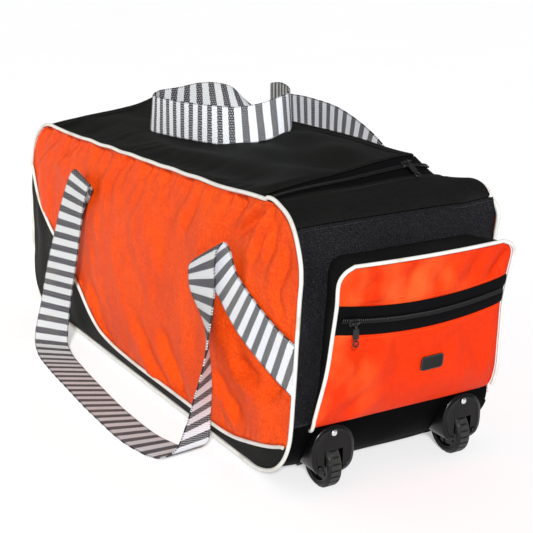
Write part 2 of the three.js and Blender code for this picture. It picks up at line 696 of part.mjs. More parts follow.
// Pull of a zip at home at the origin: its eye is on the bridge and it hangs along -Y
function pullBody() {
  const eye = new THREE.CylinderGeometry(EYE_R + 1.3, EYE_R + 1.3, 4, 16).rotateZ(Math.PI / 2);
  const hole = new THREE.CylinderGeometry(EYE_R, EYE_R, 6, 16).rotateZ(Math.PI / 2);
  const neck = box(vec(-2, -8, -0.9), vec(2, -1.8, 0.9));
  const grip = box(vec(-4, -30, -0.9), vec(4, -7, 0.9));
  const slot = box(vec(-1.5, -27, -2), vec(1.5, -12, 2));
  const joined = solid(eye).add(solid(neck)).add(solid(grip));
  return geometryOf(joined.subtract(solid(hole)).subtract(solid(slot))).translate(0, 0, BRIDGE_LEVEL);
}

// Frame of a zip at a point of it: along the zip, across it and off the tape
function zipFrame(at, along, off) {
  const z = off.clone().normalize();
  const x = along.clone().addScaledVector(z, -along.dot(z)).normalize();
  const y = vec(0, 0, 0).crossVectors(z, x);
  return new THREE.Matrix4().makeBasis(x, y, z).setPosition(at);
}

// Slider and pull of the main zip, on its wheel end near the far corner
function mainSlider() {
  const share = 4.7 / PATH_COUNT;
  const at = zipPoint(share, 0.5, 0);
  const along = zipPoint(share + 0.01, 0.5, 0).sub(zipPoint(share - 0.01, 0.5, 0));
  const over = zipPoint(share, 0.6, 0).sub(zipPoint(share, 0.4, 0));
  const off = vec(0, 0, 0).crossVectors(along, over);
  const frame = zipFrame(at, along, off.z < 0 ? off.negate() : off);
  piece("main_zip_slider", sliderBody().applyMatrix4(frame), FINISH.darkMetal);
  piece("main_zip_pull", pullBody().applyMatrix4(frame), FINISH.darkMetal);
}

// Front of the pocket at a level of its cloth, which sags at the zip, and a share across from -1 to 1
function pocketFront(level, across, inset) {
  const low = POCKET[0].z;
  const high = POCKET[POCKET.length - 1].z;
  const slack = ramp(level, low, POCKET_ZIP_LOW) * (1 - ramp(level, POCKET_ZIP_HIGH, high));
  const z = level - POCKET_SAG * slack * (1 - across * across);
  const half = tableAt(POCKET, "z", "front", z);
  const swell = POCKET_SWELL * (1 - across * across) * ramp(z, 91, 150);
  return vec(tableAt(POCKET, "z", "face", z) + swell - inset, across * half, z);
}

// Levels at which the front of the pocket bends
const FRONT_LEVELS = POCKET.map((row) => row.z);
const FRONT_TOP = FRONT_LEVELS[FRONT_LEVELS.length - 1];

// Part of the pocket's front between two levels
function frontSheet(low, high) {
  const levels = [low, ...FRONT_LEVELS.filter((z) => z > low + 1 && z < high - 1), high];
  const layer = (inset) => (up, over) => {
    const z = levels[Math.round(up * (levels.length - 1))];
    return pocketFront(z, mix(-1, 1, over), inset);
  };
  return sheet(levels.length - 1, 8, layer(0), layer(CLOTH));
}

// Rim of the pocket's front: up the near edge, over the top and down the far edge
const RIM_ROWS = POCKET.length;
const RIM_TOP_STEPS = 6;
const RIM_COUNT = 2 * (RIM_ROWS - 1) + RIM_TOP_STEPS;
function rimAt(step) {
  if (step < RIM_ROWS) return { row: POCKET[step], across: -1 };
  const over = step - (RIM_ROWS - 1);
  if (over < RIM_TOP_STEPS) return { row: POCKET[RIM_ROWS - 1], across: mix(-1, 1, over / RIM_TOP_STEPS) };
  return { row: POCKET[RIM_COUNT - step], across: 1 };
}

// Outward direction of the pocket's rim, across the front
function rimOut(step) {
  const before = rimAt(Math.max(0, step - 1));
  const after = rimAt(Math.min(RIM_COUNT, step + 1));
  const dy = after.across * after.row.front - before.across * before.row.front;
  const dz = after.row.z - before.row.z;
  return vec(0, -dz, dy).normalize();
}

// Face of the bag's wheel end behind the pocket
function endFace(z, y) {
  const foot = CORNER.wheelFoot;
  const top = CORNER.wheelTop;
  const share = (z - foot.z - foot.reachZ) / (top.z - top.reachZ - foot.z - foot.reachZ);
  const place = 2 + share;
  const out = z > top.z - top.reachZ ? outline(cornerPlaceAt(z)) : { x: mix(foot.x, top.x, share) };
  return out.x + crown(Math.min(place, END_TO_TOP), y / HALF_WIDTH_TOP);
}

// Place on the wheel end's top corner at a level
function cornerPlaceAt(z) {
  const top = CORNER.wheelTop;
  return 3 + Math.asin(Math.min(1, (z - top.z + top.reachZ) / top.reachZ)) / (Math.PI / 2);
}

// Black gusset between the pocket's front and the bag
function pocketGusset() {
  const layer = (inset) => (along, over) => {
    const step = Math.round(along * RIM_COUNT);
    const { row, across } = rimAt(step);
    const out = rimOut(step);
    const front = pocketFront(row.z, across, CLOTH + SEAM_GAP).addScaledVector(out, -inset - 0.2);
    const back = vec(0, across * row.back, row.z).addScaledVector(out, -inset);
    back.setX(endFace(back.z, back.y) + SEAM_GAP);
    return front.lerp(back, over);
  };
  return sheet(RIM_COUNT, 2, layer(0), layer(CLOTH));
}

// White piping round the pocket's front
function pocketPiping() {
  const stations = [];
  for (let step = 0; step <= RIM_COUNT; step += 1) {
    const { row, across } = rimAt(step);
    const off = rimOut(step).multiplyScalar(0.8).setX(row.z < 110 ? 0.95 : 0.68);
    stations.push({ at: pocketFront(row.z, across, 0), off });
  }
  return piping(stations, false);
}

// Teeth, slider and pull of the pocket's zip
function pocketZip() {
  const low = POCKET_TEETH_Z - 3;
  const layer = (raise) => (up, over) => pocketFront(low + 6 * up, mix(-0.94, 0.94, over), -raise);
  const row = sheet(1, 8, layer(SEAM_GAP + TEETH_HEIGHT + 0.3), layer(SEAM_GAP + 0.3));
  piece("pocket_zip_teeth", row, FINISH.darkMetal);
  const across = POCKET_SLIDER_Y / tableAt(POCKET, "z", "front", POCKET_TEETH_Z);
  const at = pocketFront(POCKET_TEETH_Z, across, -1.2);
  const frame = zipFrame(at, vec(0, 1, 0), vec(1, 0, 0));
  piece("pocket_zip_slider", sliderBody().applyMatrix4(frame), FINISH.darkMetal);
  piece("pocket_zip_pull", pullBody().applyMatrix4(frame), FINISH.darkMetal);
}

// Plain patch on the pocket
function pocketPatch() {
  const half = { y: PATCH.width / 2, z: PATCH.height / 2 };
  const shape = new THREE.Shape();
  shape.moveTo(-half.y + PATCH.round, -half.z);
  shape.lineTo(half.y - PATCH.round, -half.z);
  shape.quadraticCurveTo(half.y, -half.z, half.y, -half.z + PATCH.round);
  shape.lineTo(half.y, half.z - PATCH.round);
  shape.quadraticCurveTo(half.y, half.z, half.y - PATCH.round, half.z);
  shape.lineTo(-half.y + PATCH.round, half.z);
  shape.quadraticCurveTo(-half.y, half.z, -half.y, half.z - PATCH.round);
  shape.lineTo(-half.y, -half.z + PATCH.round);
  shape.quadraticCurveTo(-half.y, -half.z, -half.y + PATCH.round, -half.z);
  const settings = { depth: PATCH.thick, bevelEnabled: false, curveSegments: 3 };
  const plate = new THREE.ExtrudeGeometry(shape, settings);
  const across = PATCH.y / tableAt(POCKET, "z", "front", PATCH.z);
  const at = pocketFront(PATCH.z, across, -SEAM_GAP - 0.5);
  const up = pocketFront(PATCH.z + 10, across, 0).sub(pocketFront(PATCH.z - 10, across, 0));
  const side = pocketFront(PATCH.z, across + 0.1, 0).sub(pocketFront(PATCH.z, across - 0.1, 0));
  const off = vec(0, 0, 0).crossVectors(side, up);
  return geometryOf(solid(plate)).applyMatrix4(zipFrame(at, side, off));
}

// Everything inside the outline of the long sides, spread outwards by a distance, across the wheels
function insideOutline(spread) {
  const shape = new THREE.Shape();
  for (let i = 0; i <= 28; i += 1) {
    const place = mix(0.2, 2.9, i / 28);
    const at = outline(place);
    const out = outward(place);
    if (i === 0) shape.moveTo(at.x + out.x * spread, at.z + out.z * spread);
    else shape.lineTo(at.x + out.x * spread, at.z + out.z * spread);
  }
  shape.lineTo(-200, 270);
  const prism = new THREE.ExtrudeGeometry(shape, { depth: 400, bevelEnabled: false });
  return solid(prism.rotateX(Math.PI / 2).translate(0, 200, 0));
}

// Arched corner housing of one wheel, with the well that the wheel turns in
function housing(hand) {
  const y = hand * WHEEL_Y;
  const half = HOUSING_WIDTH / 2 - HOUSING_EDGE;
  const spring = HOUSING_TOP - HOUSING_EDGE - half;
  const arch = new THREE.Shape();
  arch.moveTo(-half, HOUSING_FOOT + HOUSING_EDGE);
  arch.lineTo(half, HOUSING_FOOT + HOUSING_EDGE);
  arch.lineTo(half, spring);
  arch.absarc(0, spring, half, 0, Math.PI, false);
  arch.lineTo(-half, HOUSING_FOOT + HOUSING_EDGE);
  const block = new THREE.ExtrudeGeometry(arch, {
    depth: HOUSING_FACE - HOUSING_EDGE - HOUSING_BACK,
    bevelThickness: HOUSING_EDGE,
    bevelSize: HOUSING_EDGE,
    bevelSegments: 2,
    curveSegments: 10,
  });
  block.rotateX(Math.PI / 2).rotateZ(Math.PI / 2).translate(HOUSING_BACK, y, 0);
  const outside = solid(block).subtract(insideOutline(SEAM_GAP + 3.4));
  const cup = solid(barAlongY(WELL_R + WELL_WALL, WELL_WIDTH + 2 * WELL_WALL, WHEEL_X, y, WHEEL_R, 24));
  const well = cup.intersect(insideOutline(SEAM_GAP + 4.4));
  const hollow = solid(barAlongY(WELL_R, WELL_WIDTH, WHEEL_X, y, WHEEL_R, 24));
  const bore = solid(barAlongY(AXLE_R + AXLE_PLAY, AXLE_LENGTH + 2 * AXLE_PLAY, WHEEL_X, y, WHEEL_R, 16));
  return outside.add(well).subtract(hollow).subtract(bore);
}

// Cloth with the openings for both wheel wells
function cutForWells(geometry) {
  let body = solid(geometry);
  for (const hand of [-1, 1]) {
    const radius = WELL_R + WELL_WALL + SEAM_GAP;
    const width = WELL_WIDTH + 2 * (WELL_WALL + SEAM_GAP);
    body = body.subtract(solid(barAlongY(radius, width, WHEEL_X, hand * WHEEL_Y, WHEEL_R, 24)));
  }
  return geometryOf(body);
}

// Wheel, turned from its section
function wheelBody(hand) {
  const half = WHEEL_WIDTH / 2;
  const bore = AXLE_R + AXLE_PLAY;
  const section = [
    [bore, -half],
    [11, -half + 2.5],
    [23, -half + 2.5],
    [WHEEL_R - 4, -half],
    [WHEEL_R, -half + 4],
    [WHEEL_R, half - 4],
    [WHEEL_R - 4, half],
    [23, half - 2.5],
    [11, half - 2.5],
    [bore, half],
    [bore, -half],
  ].map(([radius, width]) => new THREE.Vector2(radius, width));
  const turned = geometryOf(solid(new THREE.LatheGeometry(section, 20)));
  return turned.translate(WHEEL_X, hand * WHEEL_Y, WHEEL_R);
}

// Domed rivet on the face of a housing
function rivet(y, z) {
  const section = [
    [0, 0],
    [RIVET_R, 0],
    [RIVET_R, 0.8],
    [RIVET_R * 0.6, 2],
    [0, 2.4],
  ].map(([radius, level]) => new THREE.Vector2(radius, level));
  const dome = geometryOf(solid(new THREE.LatheGeometry(section, 12)));
  return dome.rotateZ(-Math.PI / 2).translate(HOUSING_FACE + SEAM_GAP, y, z);
}

// Wheel, axle, housing and rivets of one corner
function corner(name, hand) {
  const y = hand * WHEEL_Y;
  piece(`${name}_wheel_housing`, geometryOf(housing(hand)), FINISH.plastic);
  piece(`${name}_wheel`, wheelBody(hand), FINISH.rubber);
  const axle = solid(barAlongY(AXLE_R, AXLE_LENGTH, WHEEL_X, y, WHEEL_R, 16));
  piece(`${name}_axle`, geometryOf(axle), FINISH.steel);
  piece(`${name}_top_rivet`, rivet(y, HOUSING_TOP - 10), FINISH.steel);
  piece(`${name}_foot_rivet`, rivet(hand * (WHEEL_Y + 19), HOUSING_FOOT + 14), FINISH.steel);
}

// Webbing through the rows of a table
function webbing(rows, hand, stepsPerRow) {
  const half = WEB_THICK / 2;
  const edge = (row, x, y, z) => {
    if (row.sewn) return vec(x, hand * (sideFace(x, z) + SEWN_OFF + half), z);
    return vec(x, y, row.rise ? lidLevel(row.px, row.py) + SEWN_OFF + z : z);
  };
  const pPoints = rows.map((row) => edge(row, row.px, row.py, row.pz ?? 0));
  const qPoints = rows.map((row) => edge(row, row.qx, row.qy, row.qz ?? row.rise));
  const p = new THREE.CatmullRomCurve3(pPoints, false, "centripetal");
  const q = new THREE.CatmullRomCurve3(qPoints, false, "centripetal");
  const count = (rows.length - 1) * stepsPerRow;
  const sections = [];
  for (let i = 0; i <= count; i += 1) {
    const share = i / count;
    const [pHere, qHere] = [p.getPoint(share), q.getPoint(share)];
    const middle = pHere.clone().lerp(qHere, 0.5);
    const over = qHere.clone().sub(pHere).normalize();
    const reach = Math.max(WEB_WIDTH / 2, pHere.distanceTo(qHere) / 2);
    const [pLow, pHigh] = [p.getPoint(Math.max(0, share - 0.002)), p.getPoint(Math.min(1, share + 0.002))];
    const [qLow, qHigh] = [q.getPoint(Math.max(0, share - 0.002)), q.getPoint(Math.min(1, share + 0.002))];
    const forward = pHigh.sub(pLow).add(qHigh.sub(qLow)).normalize();
    const off = vec(0, 0, 0).crossVectors(forward, over).normalize();
    const low = middle.clone().addScaledVector(over, -reach);
    const high = middle.clone().addScaledVector(over, reach);
    sections.push([
      low.clone().addScaledVector(off, half),
      high.clone().addScaledVector(off, half),
      high.clone().addScaledVector(off, -half),
      low.clone().addScaledVector(off, -half),
    ]);
  }
  return loft(sections, false);
}

sidePanels("near", -1);
sidePanels("far", 1);
sidePiping("near", -1);
sidePiping("far", 1);
piece("base_panel", cutForWells(basePanel()), FINISH.weave);
piece("wheel_band", cutForWells(wrapSheet(BASE_TO_BAND, BAND_TO_END, 6, 8)), FINISH.weave);
piece("wheel_end_panel", wrapSheet(BAND_TO_END, END_TO_TOP, 10, 6), FINISH.weave);
piece("tail_end_panel", wrapSheet(TOP_TO_TAIL, TAIL_TO_BASE, 10, 6), FINISH.black);
piece("top_border", topBorder(), FINISH.black);
piece("lid", lid(), FINISH.black);
mainZip();
mainSlider();
piece("pocket_gusset", pocketGusset(), FINISH.black);
piece("pocket_lower_front", frontSheet(FRONT_LEVELS[0], POCKET_ZIP_LOW - SEAM_GAP), FINISH.orange);
piece("pocket_zip_tape", frontSheet(POCKET_ZIP_LOW, POCKET_ZIP_HIGH), FINISH.weave);
piece("pocket_upper_front", frontSheet(POCKET_ZIP_HIGH + SEAM_GAP, FRONT_TOP), FINISH.orange);
piece("pocket_piping", pocketPiping(), FINISH.white);
pocketZip();
piece("pocket_patch", pocketPatch(), FINISH.black);
corner("near", -1);
corner("far", 1);
piece("near_handle", webbing(NEAR_HANDLE, -1, 3), FINISH.webbing);
piece("far_handle", webbing(FAR_HANDLE, 1, 3), FINISH.webbing);

export default group;
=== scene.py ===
"""Looks of the wheeled kit bag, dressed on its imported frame. Sizes are in mm until a mesh is placed."""

import logging
import math
from collections.abc import Callable, Iterator, Sequence
from contextlib import contextmanager
from dataclasses import dataclass, field
from enum import Enum
from functools import cached_property

import bmesh
import bpy
import numpy as np
from mathutils import Matrix, Vector


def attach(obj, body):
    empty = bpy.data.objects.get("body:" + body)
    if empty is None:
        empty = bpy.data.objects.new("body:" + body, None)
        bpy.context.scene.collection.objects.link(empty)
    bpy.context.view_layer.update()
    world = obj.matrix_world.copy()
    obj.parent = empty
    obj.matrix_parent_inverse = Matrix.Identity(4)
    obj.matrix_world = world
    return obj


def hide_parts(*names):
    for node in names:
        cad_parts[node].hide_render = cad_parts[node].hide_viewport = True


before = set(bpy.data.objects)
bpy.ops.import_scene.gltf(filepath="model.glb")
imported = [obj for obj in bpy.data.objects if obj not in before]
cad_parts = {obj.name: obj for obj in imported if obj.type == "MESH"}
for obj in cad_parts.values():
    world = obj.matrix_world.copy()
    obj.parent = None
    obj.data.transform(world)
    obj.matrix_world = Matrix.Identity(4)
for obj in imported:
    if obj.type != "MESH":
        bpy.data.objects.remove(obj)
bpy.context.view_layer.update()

Array = np.ndarray
Piece = bpy.types.Object
Surface = Callable[[Array, Array], Array]
MM = 0.001
THREAD_R = 0.42
STITCH_LENGTH = 2.8
STITCH_PITCH = 4.2
TOOTH_PITCH = 2.7
TOOTH_SIZE = (1.9, 6.0, 2.0)
TRIM_PITCH = 4.4
TRIM_SIDES = 10
LOG = logging.getLogger("kit_bag")


class Hand(Enum):
    """Side of the bag, as the sign of Y."""

    NEAR = -1
    FAR = 1

    @property
    def word(self) -> str:
        """The side's name, as it stands in the nodes' names."""
        return self.name.lower()


def ramp(value: Array, low: float, high: float) -> Array:
    """Smooth step from 0 at low to 1 at high."""
    share = np.clip((value - low) / (high - low), 0.0, 1.0)
    return share * share * (3 - 2 * share)


def bell(value: Array, middle: float, half: float) -> Array:
    """Soft hump that is 1 at its middle."""
    return np.exp(-(((value - middle) / half) ** 2))


def mix(low: Array | float, high: Array | float, share: Array | float) -> Array | float:
    """Value between low and high."""
    return low + (high - low) * share


def points_of(x: Array, y: Array, z: Array) -> Array:
    """Rows of points from three columns."""
    return np.stack(np.broadcast_arrays(x, y, z), axis=-1).astype(float)


def unit(rows: Array) -> Array:
    """Rows scaled to a length of 1."""
    return rows / np.maximum(np.linalg.norm(rows, axis=-1, keepdims=True), 1e-9)


def lengths_along(path: Array) -> Array:
    """Length run at each point of a path."""
    steps = np.linalg.norm(np.diff(path, axis=0), axis=1)
    return np.concatenate([[0.0], np.cumsum(steps)])


def eased(share: Array, strength: float) -> Array:
    """Shares from 0 to 1, drawn together towards both ends."""
    return mix(share, 0.5 - 0.5 * np.cos(np.pi * share), strength)


def end_gap(share: Array) -> Array:
    """Distance of shares from the nearer end of 0 to 1."""
    return np.minimum(share, 1 - share)


def resampled(rows: Array, run: Array, new: Array) -> Array:
    """Rows at new places along a run."""
    return np.stack([np.interp(new, run, column) for column in rows.T], axis=1)


def evenly(path: Array, pitch: float) -> Array:
    """Points of a path at an even pitch.

    Args:
        path: Points of the path, in mm.
        pitch: Distance between the new points, in mm.

    Returns:
        The new points.
    """
    run = lengths_along(path)
    return resampled(path, run, np.arange(pitch / 2, run[-1], pitch))


class SmoothCurve:
    """Centripetal curve through points of any width."""

    def __init__(self, points: Sequence[Sequence[float]]) -> None:
        """Keeps the points, with one more beyond each end."""
        inner = np.asarray(points, float)
        first = 2 * inner[0] - inner[1]
        last = 2 * inner[-1] - inner[-2]
        self.points = np.vstack([first, inner, last])
        self.count = len(inner)

    def at(self, share: Array) -> Array:
        """Points of the curve.

        Args:
            share: Shares of the curve from 0 to 1, each row of the table taking the same share.

        Returns:
            One row for each share.
        """
        place = np.clip(np.asarray(share, float), 0, 1) * (self.count - 1)
        index = np.minimum(place.astype(int), self.count - 2)
        part = (place - index)[:, None]
        a, b, c, d = (self.points[index + k] for k in range(4))
        gap = [np.sqrt(np.linalg.norm(q - p, axis=1, keepdims=True)) for p, q in ((a, b), (b, c), (c, d))]
        t0, t1, t2 = (np.maximum(g, 1e-4) for g in gap)
        start = ((b - a) / t0 - (c - a) / (t0 + t1) + (c - b) / t1) * t1
        end = ((c - b) / t1 - (d - b) / (t1 + t2) + (d - c) / t2) * t1
        square = -3 * b + 3 * c - 2 * start - end
        cube = 2 * b - 2 * c + start + end
        return b + start * part + square * part**2 + cube * part**3


@dataclass(frozen=True)
class Ripple:
    """Soft uneven waves over cloth, the same at every run."""

    wave: tuple[float, float, float]
    height: float
    seed: int

    def at(self, points: Array) -> Array:
        """Height of the waves at points, in mm."""
        rng = np.random.default_rng(self.seed)
        turns = unit(rng.normal(size=(14, 3))) * 2 * np.pi / np.array(self.wave)
        phase = rng.uniform(0, 2 * np.pi, 14)
        return self.height * np.sin(points @ turns.T + phase).sum(axis=1) / math.sqrt(7)


@dataclass(frozen=True)
class Gathers:
    """Short puckers that run out from a seam."""

    spacing: float
    depth: float
    reach: float
    lean: float
    seed: int

    def at(self, run: Array, gap: Array) -> Array:
        """Height of the puckers.

        Args:
            run: Length along the seam, in mm.
            gap: Distance from the seam, in mm.

        Returns:
            Heights in mm, below 0 in the puckers.
        """
        rng = np.random.default_rng(self.seed)
        count = max(2, int((run.max() - run.min()) / self.spacing))
        places = np.linspace(run.min(), run.max(), count) + rng.normal(0, 0.3 * self.spacing, count)
        depths = self.depth * rng.uniform(0.2, 1.0, count)
        widths = self.spacing * rng.uniform(0.18, 0.36, count)
        reaches = self.reach * rng.uniform(0.35, 1.5, count)
        leans = self.lean + rng.normal(0, 0.18, count)
        close = gap < 5 * self.reach
        result = np.zeros_like(run)
        run, gap = run[close], gap[close]
        total = np.zeros_like(run)
        for place, depth, width, reach, lean in zip(places, depths, widths, reaches, leans):
            across = (run - place - lean * gap) / (width + 0.1 * gap)
            total -= depth * np.exp(-across * across) * np.exp(-gap / reach)
        result[close] = total * (1 - np.exp(-gap / 2.5))
        return result


@dataclass(frozen=True)
class Crease:
    """One fold in a flat panel, a valley with a raised shoulder, between two places."""

    start: tuple[float, float]
    end: tuple[float, float]
    depth: float
    breadth: float

    def at(self, across: Array, up: Array) -> Array:
        """Height of the fold at places on the panel, in mm."""
        line = np.subtract(self.end, self.start)
        length = np.hypot(*line)
        line = line / length
        along = ((across - self.start[0]) * line[0] + (up - self.start[1]) * line[1]) / length
        off = ((across - self.start[0]) * line[1] - (up - self.start[1]) * line[0]) / self.breadth
        taper = ramp(along, -0.12, 0.25) * (1 - ramp(along, 0.65, 1.2))
        return self.depth * taper * (0.6 * bell(off, 1.7, 1.1) - np.exp(-off * off))


@dataclass(frozen=True)
class Corner:
    """Rounded corner of a long side's outline."""

    x: float
    z: float
    reach_x: float
    reach_z: float

    def at(self, turn: Array) -> tuple[Array, Array]:
        """Point of the corner at a turn from +X towards +Z."""
        in_x = self.x - math.copysign(self.reach_x, self.x)
        in_z = self.z - self.reach_z if self.z > 100 else self.z + self.reach_z
        return in_x + self.reach_x * np.cos(turn), in_z + self.reach_z * np.sin(turn)


@dataclass(frozen=True)
class BagForm:
    """Shape of the bag's cloth body. Places run round the outline of a long side from 0 to a full lap."""

    lap: float = 8
    foot_half: float = 158
    top_half: float = 146
    foot_level: float = 10
    top_level: float = 350
    bulge: float = 18
    cloth: float = 2
    seam_gap: float = 0.4
    tail_foot: Corner = Corner(-452, 9, 45, 58)
    wheel_foot: Corner = Corner(453, 11, 90, 84)
    wheel_top: Corner = Corner(464, 366, 70, 85)
    tail_top: Corner = Corner(-454, 342, 115, 100)
    base_to_band: float = 1.3
    band_to_end: float = 1.97
    end_to_top: float = 3.5
    top_to_tail: float = 5.5
    tail_to_base: float = 7.5
    crown_rows: tuple[tuple[float, float], ...] = (
        (0, 14), (1, 14), (1.3, 3), (1.97, 3), (3.5, 4), (4, 5), (5, 5), (5.5, 6), (6.5, 14), (7.5, 3), (8, 14),
    )
    seam_rows: tuple[tuple[float, float], ...] = (
        (-454, 260), (-436, 245), (-389, 206), (-340, 180), (-300, 159), (-246, 130), (-201, 103), (-158, 64),
        (-128, 45), (-80, 35), (0, 31), (208, 31), (270, 29), (320, 33), (370, 44), (417, 56), (440, 64),
    )
    fold_rows: tuple[tuple[float, ...], ...] = (
        (372, 300, -12, 75, 20, 5), (300, 150, 35, 90, 34, -4), (120, 250, 10, 110, 40, 4),
        (-20, 150, -20, 120, 45, -4), (-230, 230, 25, 90, 40, 4), (-330, 90, 50, 90, 36, 4),
    )
    roll_x: float = -335
    roll_half: float = 105
    roll_up: float = 20
    roll_in: float = 30
    sink_x: float = 320
    sink_half: float = 90
    sink_down: float = 17
    sag_down: float = 8
    corner_full: float = 10
    corner_in: float = 10
    lid_lift: float = 22
    zip_width: float = 30
    zip_wheel_x: float = 380
    zip_tail_x: float = -366
    zip_far: float = 118
    zip_bend: float = 42
    lid_gap: float = 1.2
    lid_steps: tuple[int, int, int] = (5, 4, 12)

    def rolled(self, points: Array) -> Array:
        """Points moved with the roll and sink of the far top edge, the near edge's sag and the far corner."""
        x, y, z = points.T
        share = bell(x, self.roll_x, self.roll_half) * ramp(y, 0, self.top_half) * ramp(z, 220, 345)
        sunk = bell(x, self.sink_x, self.sink_half) * ramp(y, 67, self.top_half) * ramp(z, 250, 345)
        drawn = ramp(x, 400, 455) * ramp(y, 112, self.foot_half) * (1 - ramp(z, 285, 325)) * ramp(z, 60, 150)
        slack = ramp(x, -455, -250) * (1 - 0.5 * ramp(x, 250, 390)) * (1 - ramp(x, 395, 455))
        sag = slack * ramp(-y, -55, 45) * ramp(z, 265, 340)
        down = self.sink_down * sunk + self.sag_down * sag
        full = self.corner_full * ramp(x, 380, 430) * ramp(y, 95, self.top_half) * ramp(z, 300, 338)
        up = 0.9 * full + self.roll_up * share
        return points_of(x + full - self.corner_in * drawn, y - self.roll_in * share, z + up - down)

    def half_width(self, z: Array) -> Array:
        """Half width of the body at a level."""
        return mix(self.foot_half, self.top_half, z / self.top_level)

    @cached_property
    def outline_rows(self) -> Array:
        """Table of the outline: place, x and z."""
        corners = (self.tail_foot, self.wheel_foot, self.wheel_top, self.tail_top)
        rows = []
        for index in range(4):
            turn = (index - 1) * np.pi / 2
            start_x, start_z = corners[index].at(turn)
            rows.append((2 * index, start_x, start_z))
            for part in np.linspace(0, 1, 240):
                x, z = corners[(index + 1) % 4].at(turn + part * np.pi / 2)
                rows.append((2 * index + 1 + part, x, z))
        return np.array(rows)

    def outline(self, place: Array) -> tuple[Array, Array]:
        """X and z of the outline at a place."""
        at = np.mod(place, self.lap)
        rows = self.outline_rows
        return np.interp(at, rows[:, 0], rows[:, 1]), np.interp(at, rows[:, 0], rows[:, 2])

    def outward(self, place: Array) -> tuple[Array, Array]:
        """Outward direction of the outline at a place."""
        step = 0.004
        low_x, low_z = self.outline(np.asarray(place) - step)
        high_x, high_z = self.outline(np.asarray(place) + step)
        length = np.hypot(high_x - low_x, high_z - low_z)
        return (high_z - low_z) / length, -(high_x - low_x) / length

    @staticmethod
    def edge_level(x: Array, tail: Corner, wheel: Corner, up: int) -> Array:
        """Level of the foot (up 1) or of the top (up -1) of a long side."""
        tail_in, wheel_in = tail.x + tail.reach_x, wheel.x - wheel.reach_x
        at_tail = np.clip((tail_in - x) / tail.reach_x, 0, 1)
        at_wheel = np.clip((x - wheel_in) / wheel.reach_x, 0, 1)
        tail_z = tail.z + up * tail.reach_z * (1 - np.sqrt(1 - at_tail**2))
        wheel_z = wheel.z + up * wheel.reach_z * (1 - np.sqrt(1 - at_wheel**2))
        straight = mix(tail.z, wheel.z, (x - tail_in) / (wheel_in - tail_in))
        return np.where(x < tail_in, tail_z, np.where(x > wheel_in, wheel_z, straight))

    def column(self, share: Array) -> tuple[Array, Array, Array, Array]:
        """Foot and top of a long side at a share of its length, as foot x, foot z, top x and top z."""
        foot_x = mix(self.tail_foot.x, self.wheel_foot.x, share)
        top_x = mix(self.tail_top.x, self.wheel_top.x, share)
        foot_z = self.edge_level(foot_x, self.tail_foot, self.wheel_foot, 1)
        top_z = self.edge_level(top_x, self.tail_top, self.wheel_top, -1)
        return foot_x, foot_z, top_x, top_z

    def fold_depth(self, x: Array, z: Array) -> Array:
        """Depth of the broad folds of a long side."""
        depth = np.zeros_like(x)
        for mid_x, mid_z, lean, half, breadth, deep in self.fold_rows:
            turn = math.radians(lean)
            along = (x - mid_x) * math.sin(turn) + (z - mid_z) * math.cos(turn)
            across = (x - mid_x) * math.cos(turn) - (z - mid_z) * math.sin(turn)
            depth += deep * np.exp(-((along / half) ** 2) - (across / breadth) ** 2)
        return depth

    def side_point(self, share: Array, height: Array, hand: Hand, out: Array | float = 0.0) -> Array:
        """Points of a long side at shares of its length and height, moved out by a distance."""
        foot_x, foot_z, top_x, top_z = self.column(share)
        x, z = mix(foot_x, top_x, height), mix(foot_z, top_z, height)
        free = (1 - np.abs(2 * share - 1) ** 6) * (1 - np.abs(2 * height - 1) ** 2.5)
        swell = free * (self.bulge - self.fold_depth(x, z))
        return points_of(x, hand.value * (self.half_width(z) + swell + out), z)

    def side_shares(self, x: Array, z: Array) -> tuple[Array, Array]:
        """Shares of a long side's length and height at a place on it."""
        up = np.clip((z - self.foot_level) / (self.top_level - self.foot_level), 0, 1)
        tail_x = mix(self.tail_foot.x, self.tail_top.x, up)
        wheel_x = mix(self.wheel_foot.x, self.wheel_top.x, up)
        share = np.clip((x - tail_x) / (wheel_x - tail_x), 0, 1)
        _, foot_z, _, top_z = self.column(share)
        return share, np.clip((z - foot_z) / (top_z - foot_z), 0, 1)

    def side_face(self, x: Array, z: Array) -> Array:
        """Distance of a long side's face from the middle of the bag."""
        share, height = self.side_shares(np.asarray(x, float), np.asarray(z, float))
        return self.side_point(share, height, Hand.FAR)[:, 1]

    def seam_height(self, share: Array) -> Array:
        """Height share of the sweeping seam in the long side."""
        foot_x, foot_z, top_x, top_z = self.column(share)
        curve = SmoothCurve(self.seam_rows).at(np.linspace(0, 1, 400))
        level = np.interp(mix(foot_x, top_x, 0.3), curve[:, 0], curve[:, 1])
        return np.clip((level - foot_z) / (top_z - foot_z), 0, 0.985)

    @cached_property
    def seam_end(self) -> float:
        """Share of the length at which the sweeping seam meets the foot."""
        share = np.linspace(0.5, 1, 2000)
        return float(share[np.nonzero(self.seam_height(share) > 0.012)[0][-1]])

    def crown(self, place: Array, across: Array) -> Array:
        """Swell of the cloth between the two sides."""
        rows = np.array(self.crown_rows)
        return np.interp(np.mod(place, self.lap), rows[:, 0], rows[:, 1]) * (1 - across**4)

    def wrap_point(self, place: Array, across: Array, lift: Array | float) -> Array:
        """Points of the cloth between the sides, lifted off the outline."""
        x, z = self.outline(place)
        out_x, out_z = self.outward(place)
        y = across * (self.half_width(z) - self.cloth - self.seam_gap)
        return points_of(x + out_x * lift, y, z + out_z * lift)

    @cached_property
    def top_rows(self) -> Array:
        """Table of the top: place, run from the wheel-end seam and x."""
        place = np.linspace(self.end_to_top, self.top_to_tail, 241)
        x, z = self.outline(place)
        return np.stack([place, lengths_along(points_of(x, 0, z)), x], axis=1)

    @property
    def top_length(self) -> float:
        """Length of the top between its two end seams."""
        return float(self.top_rows[-1, 1])

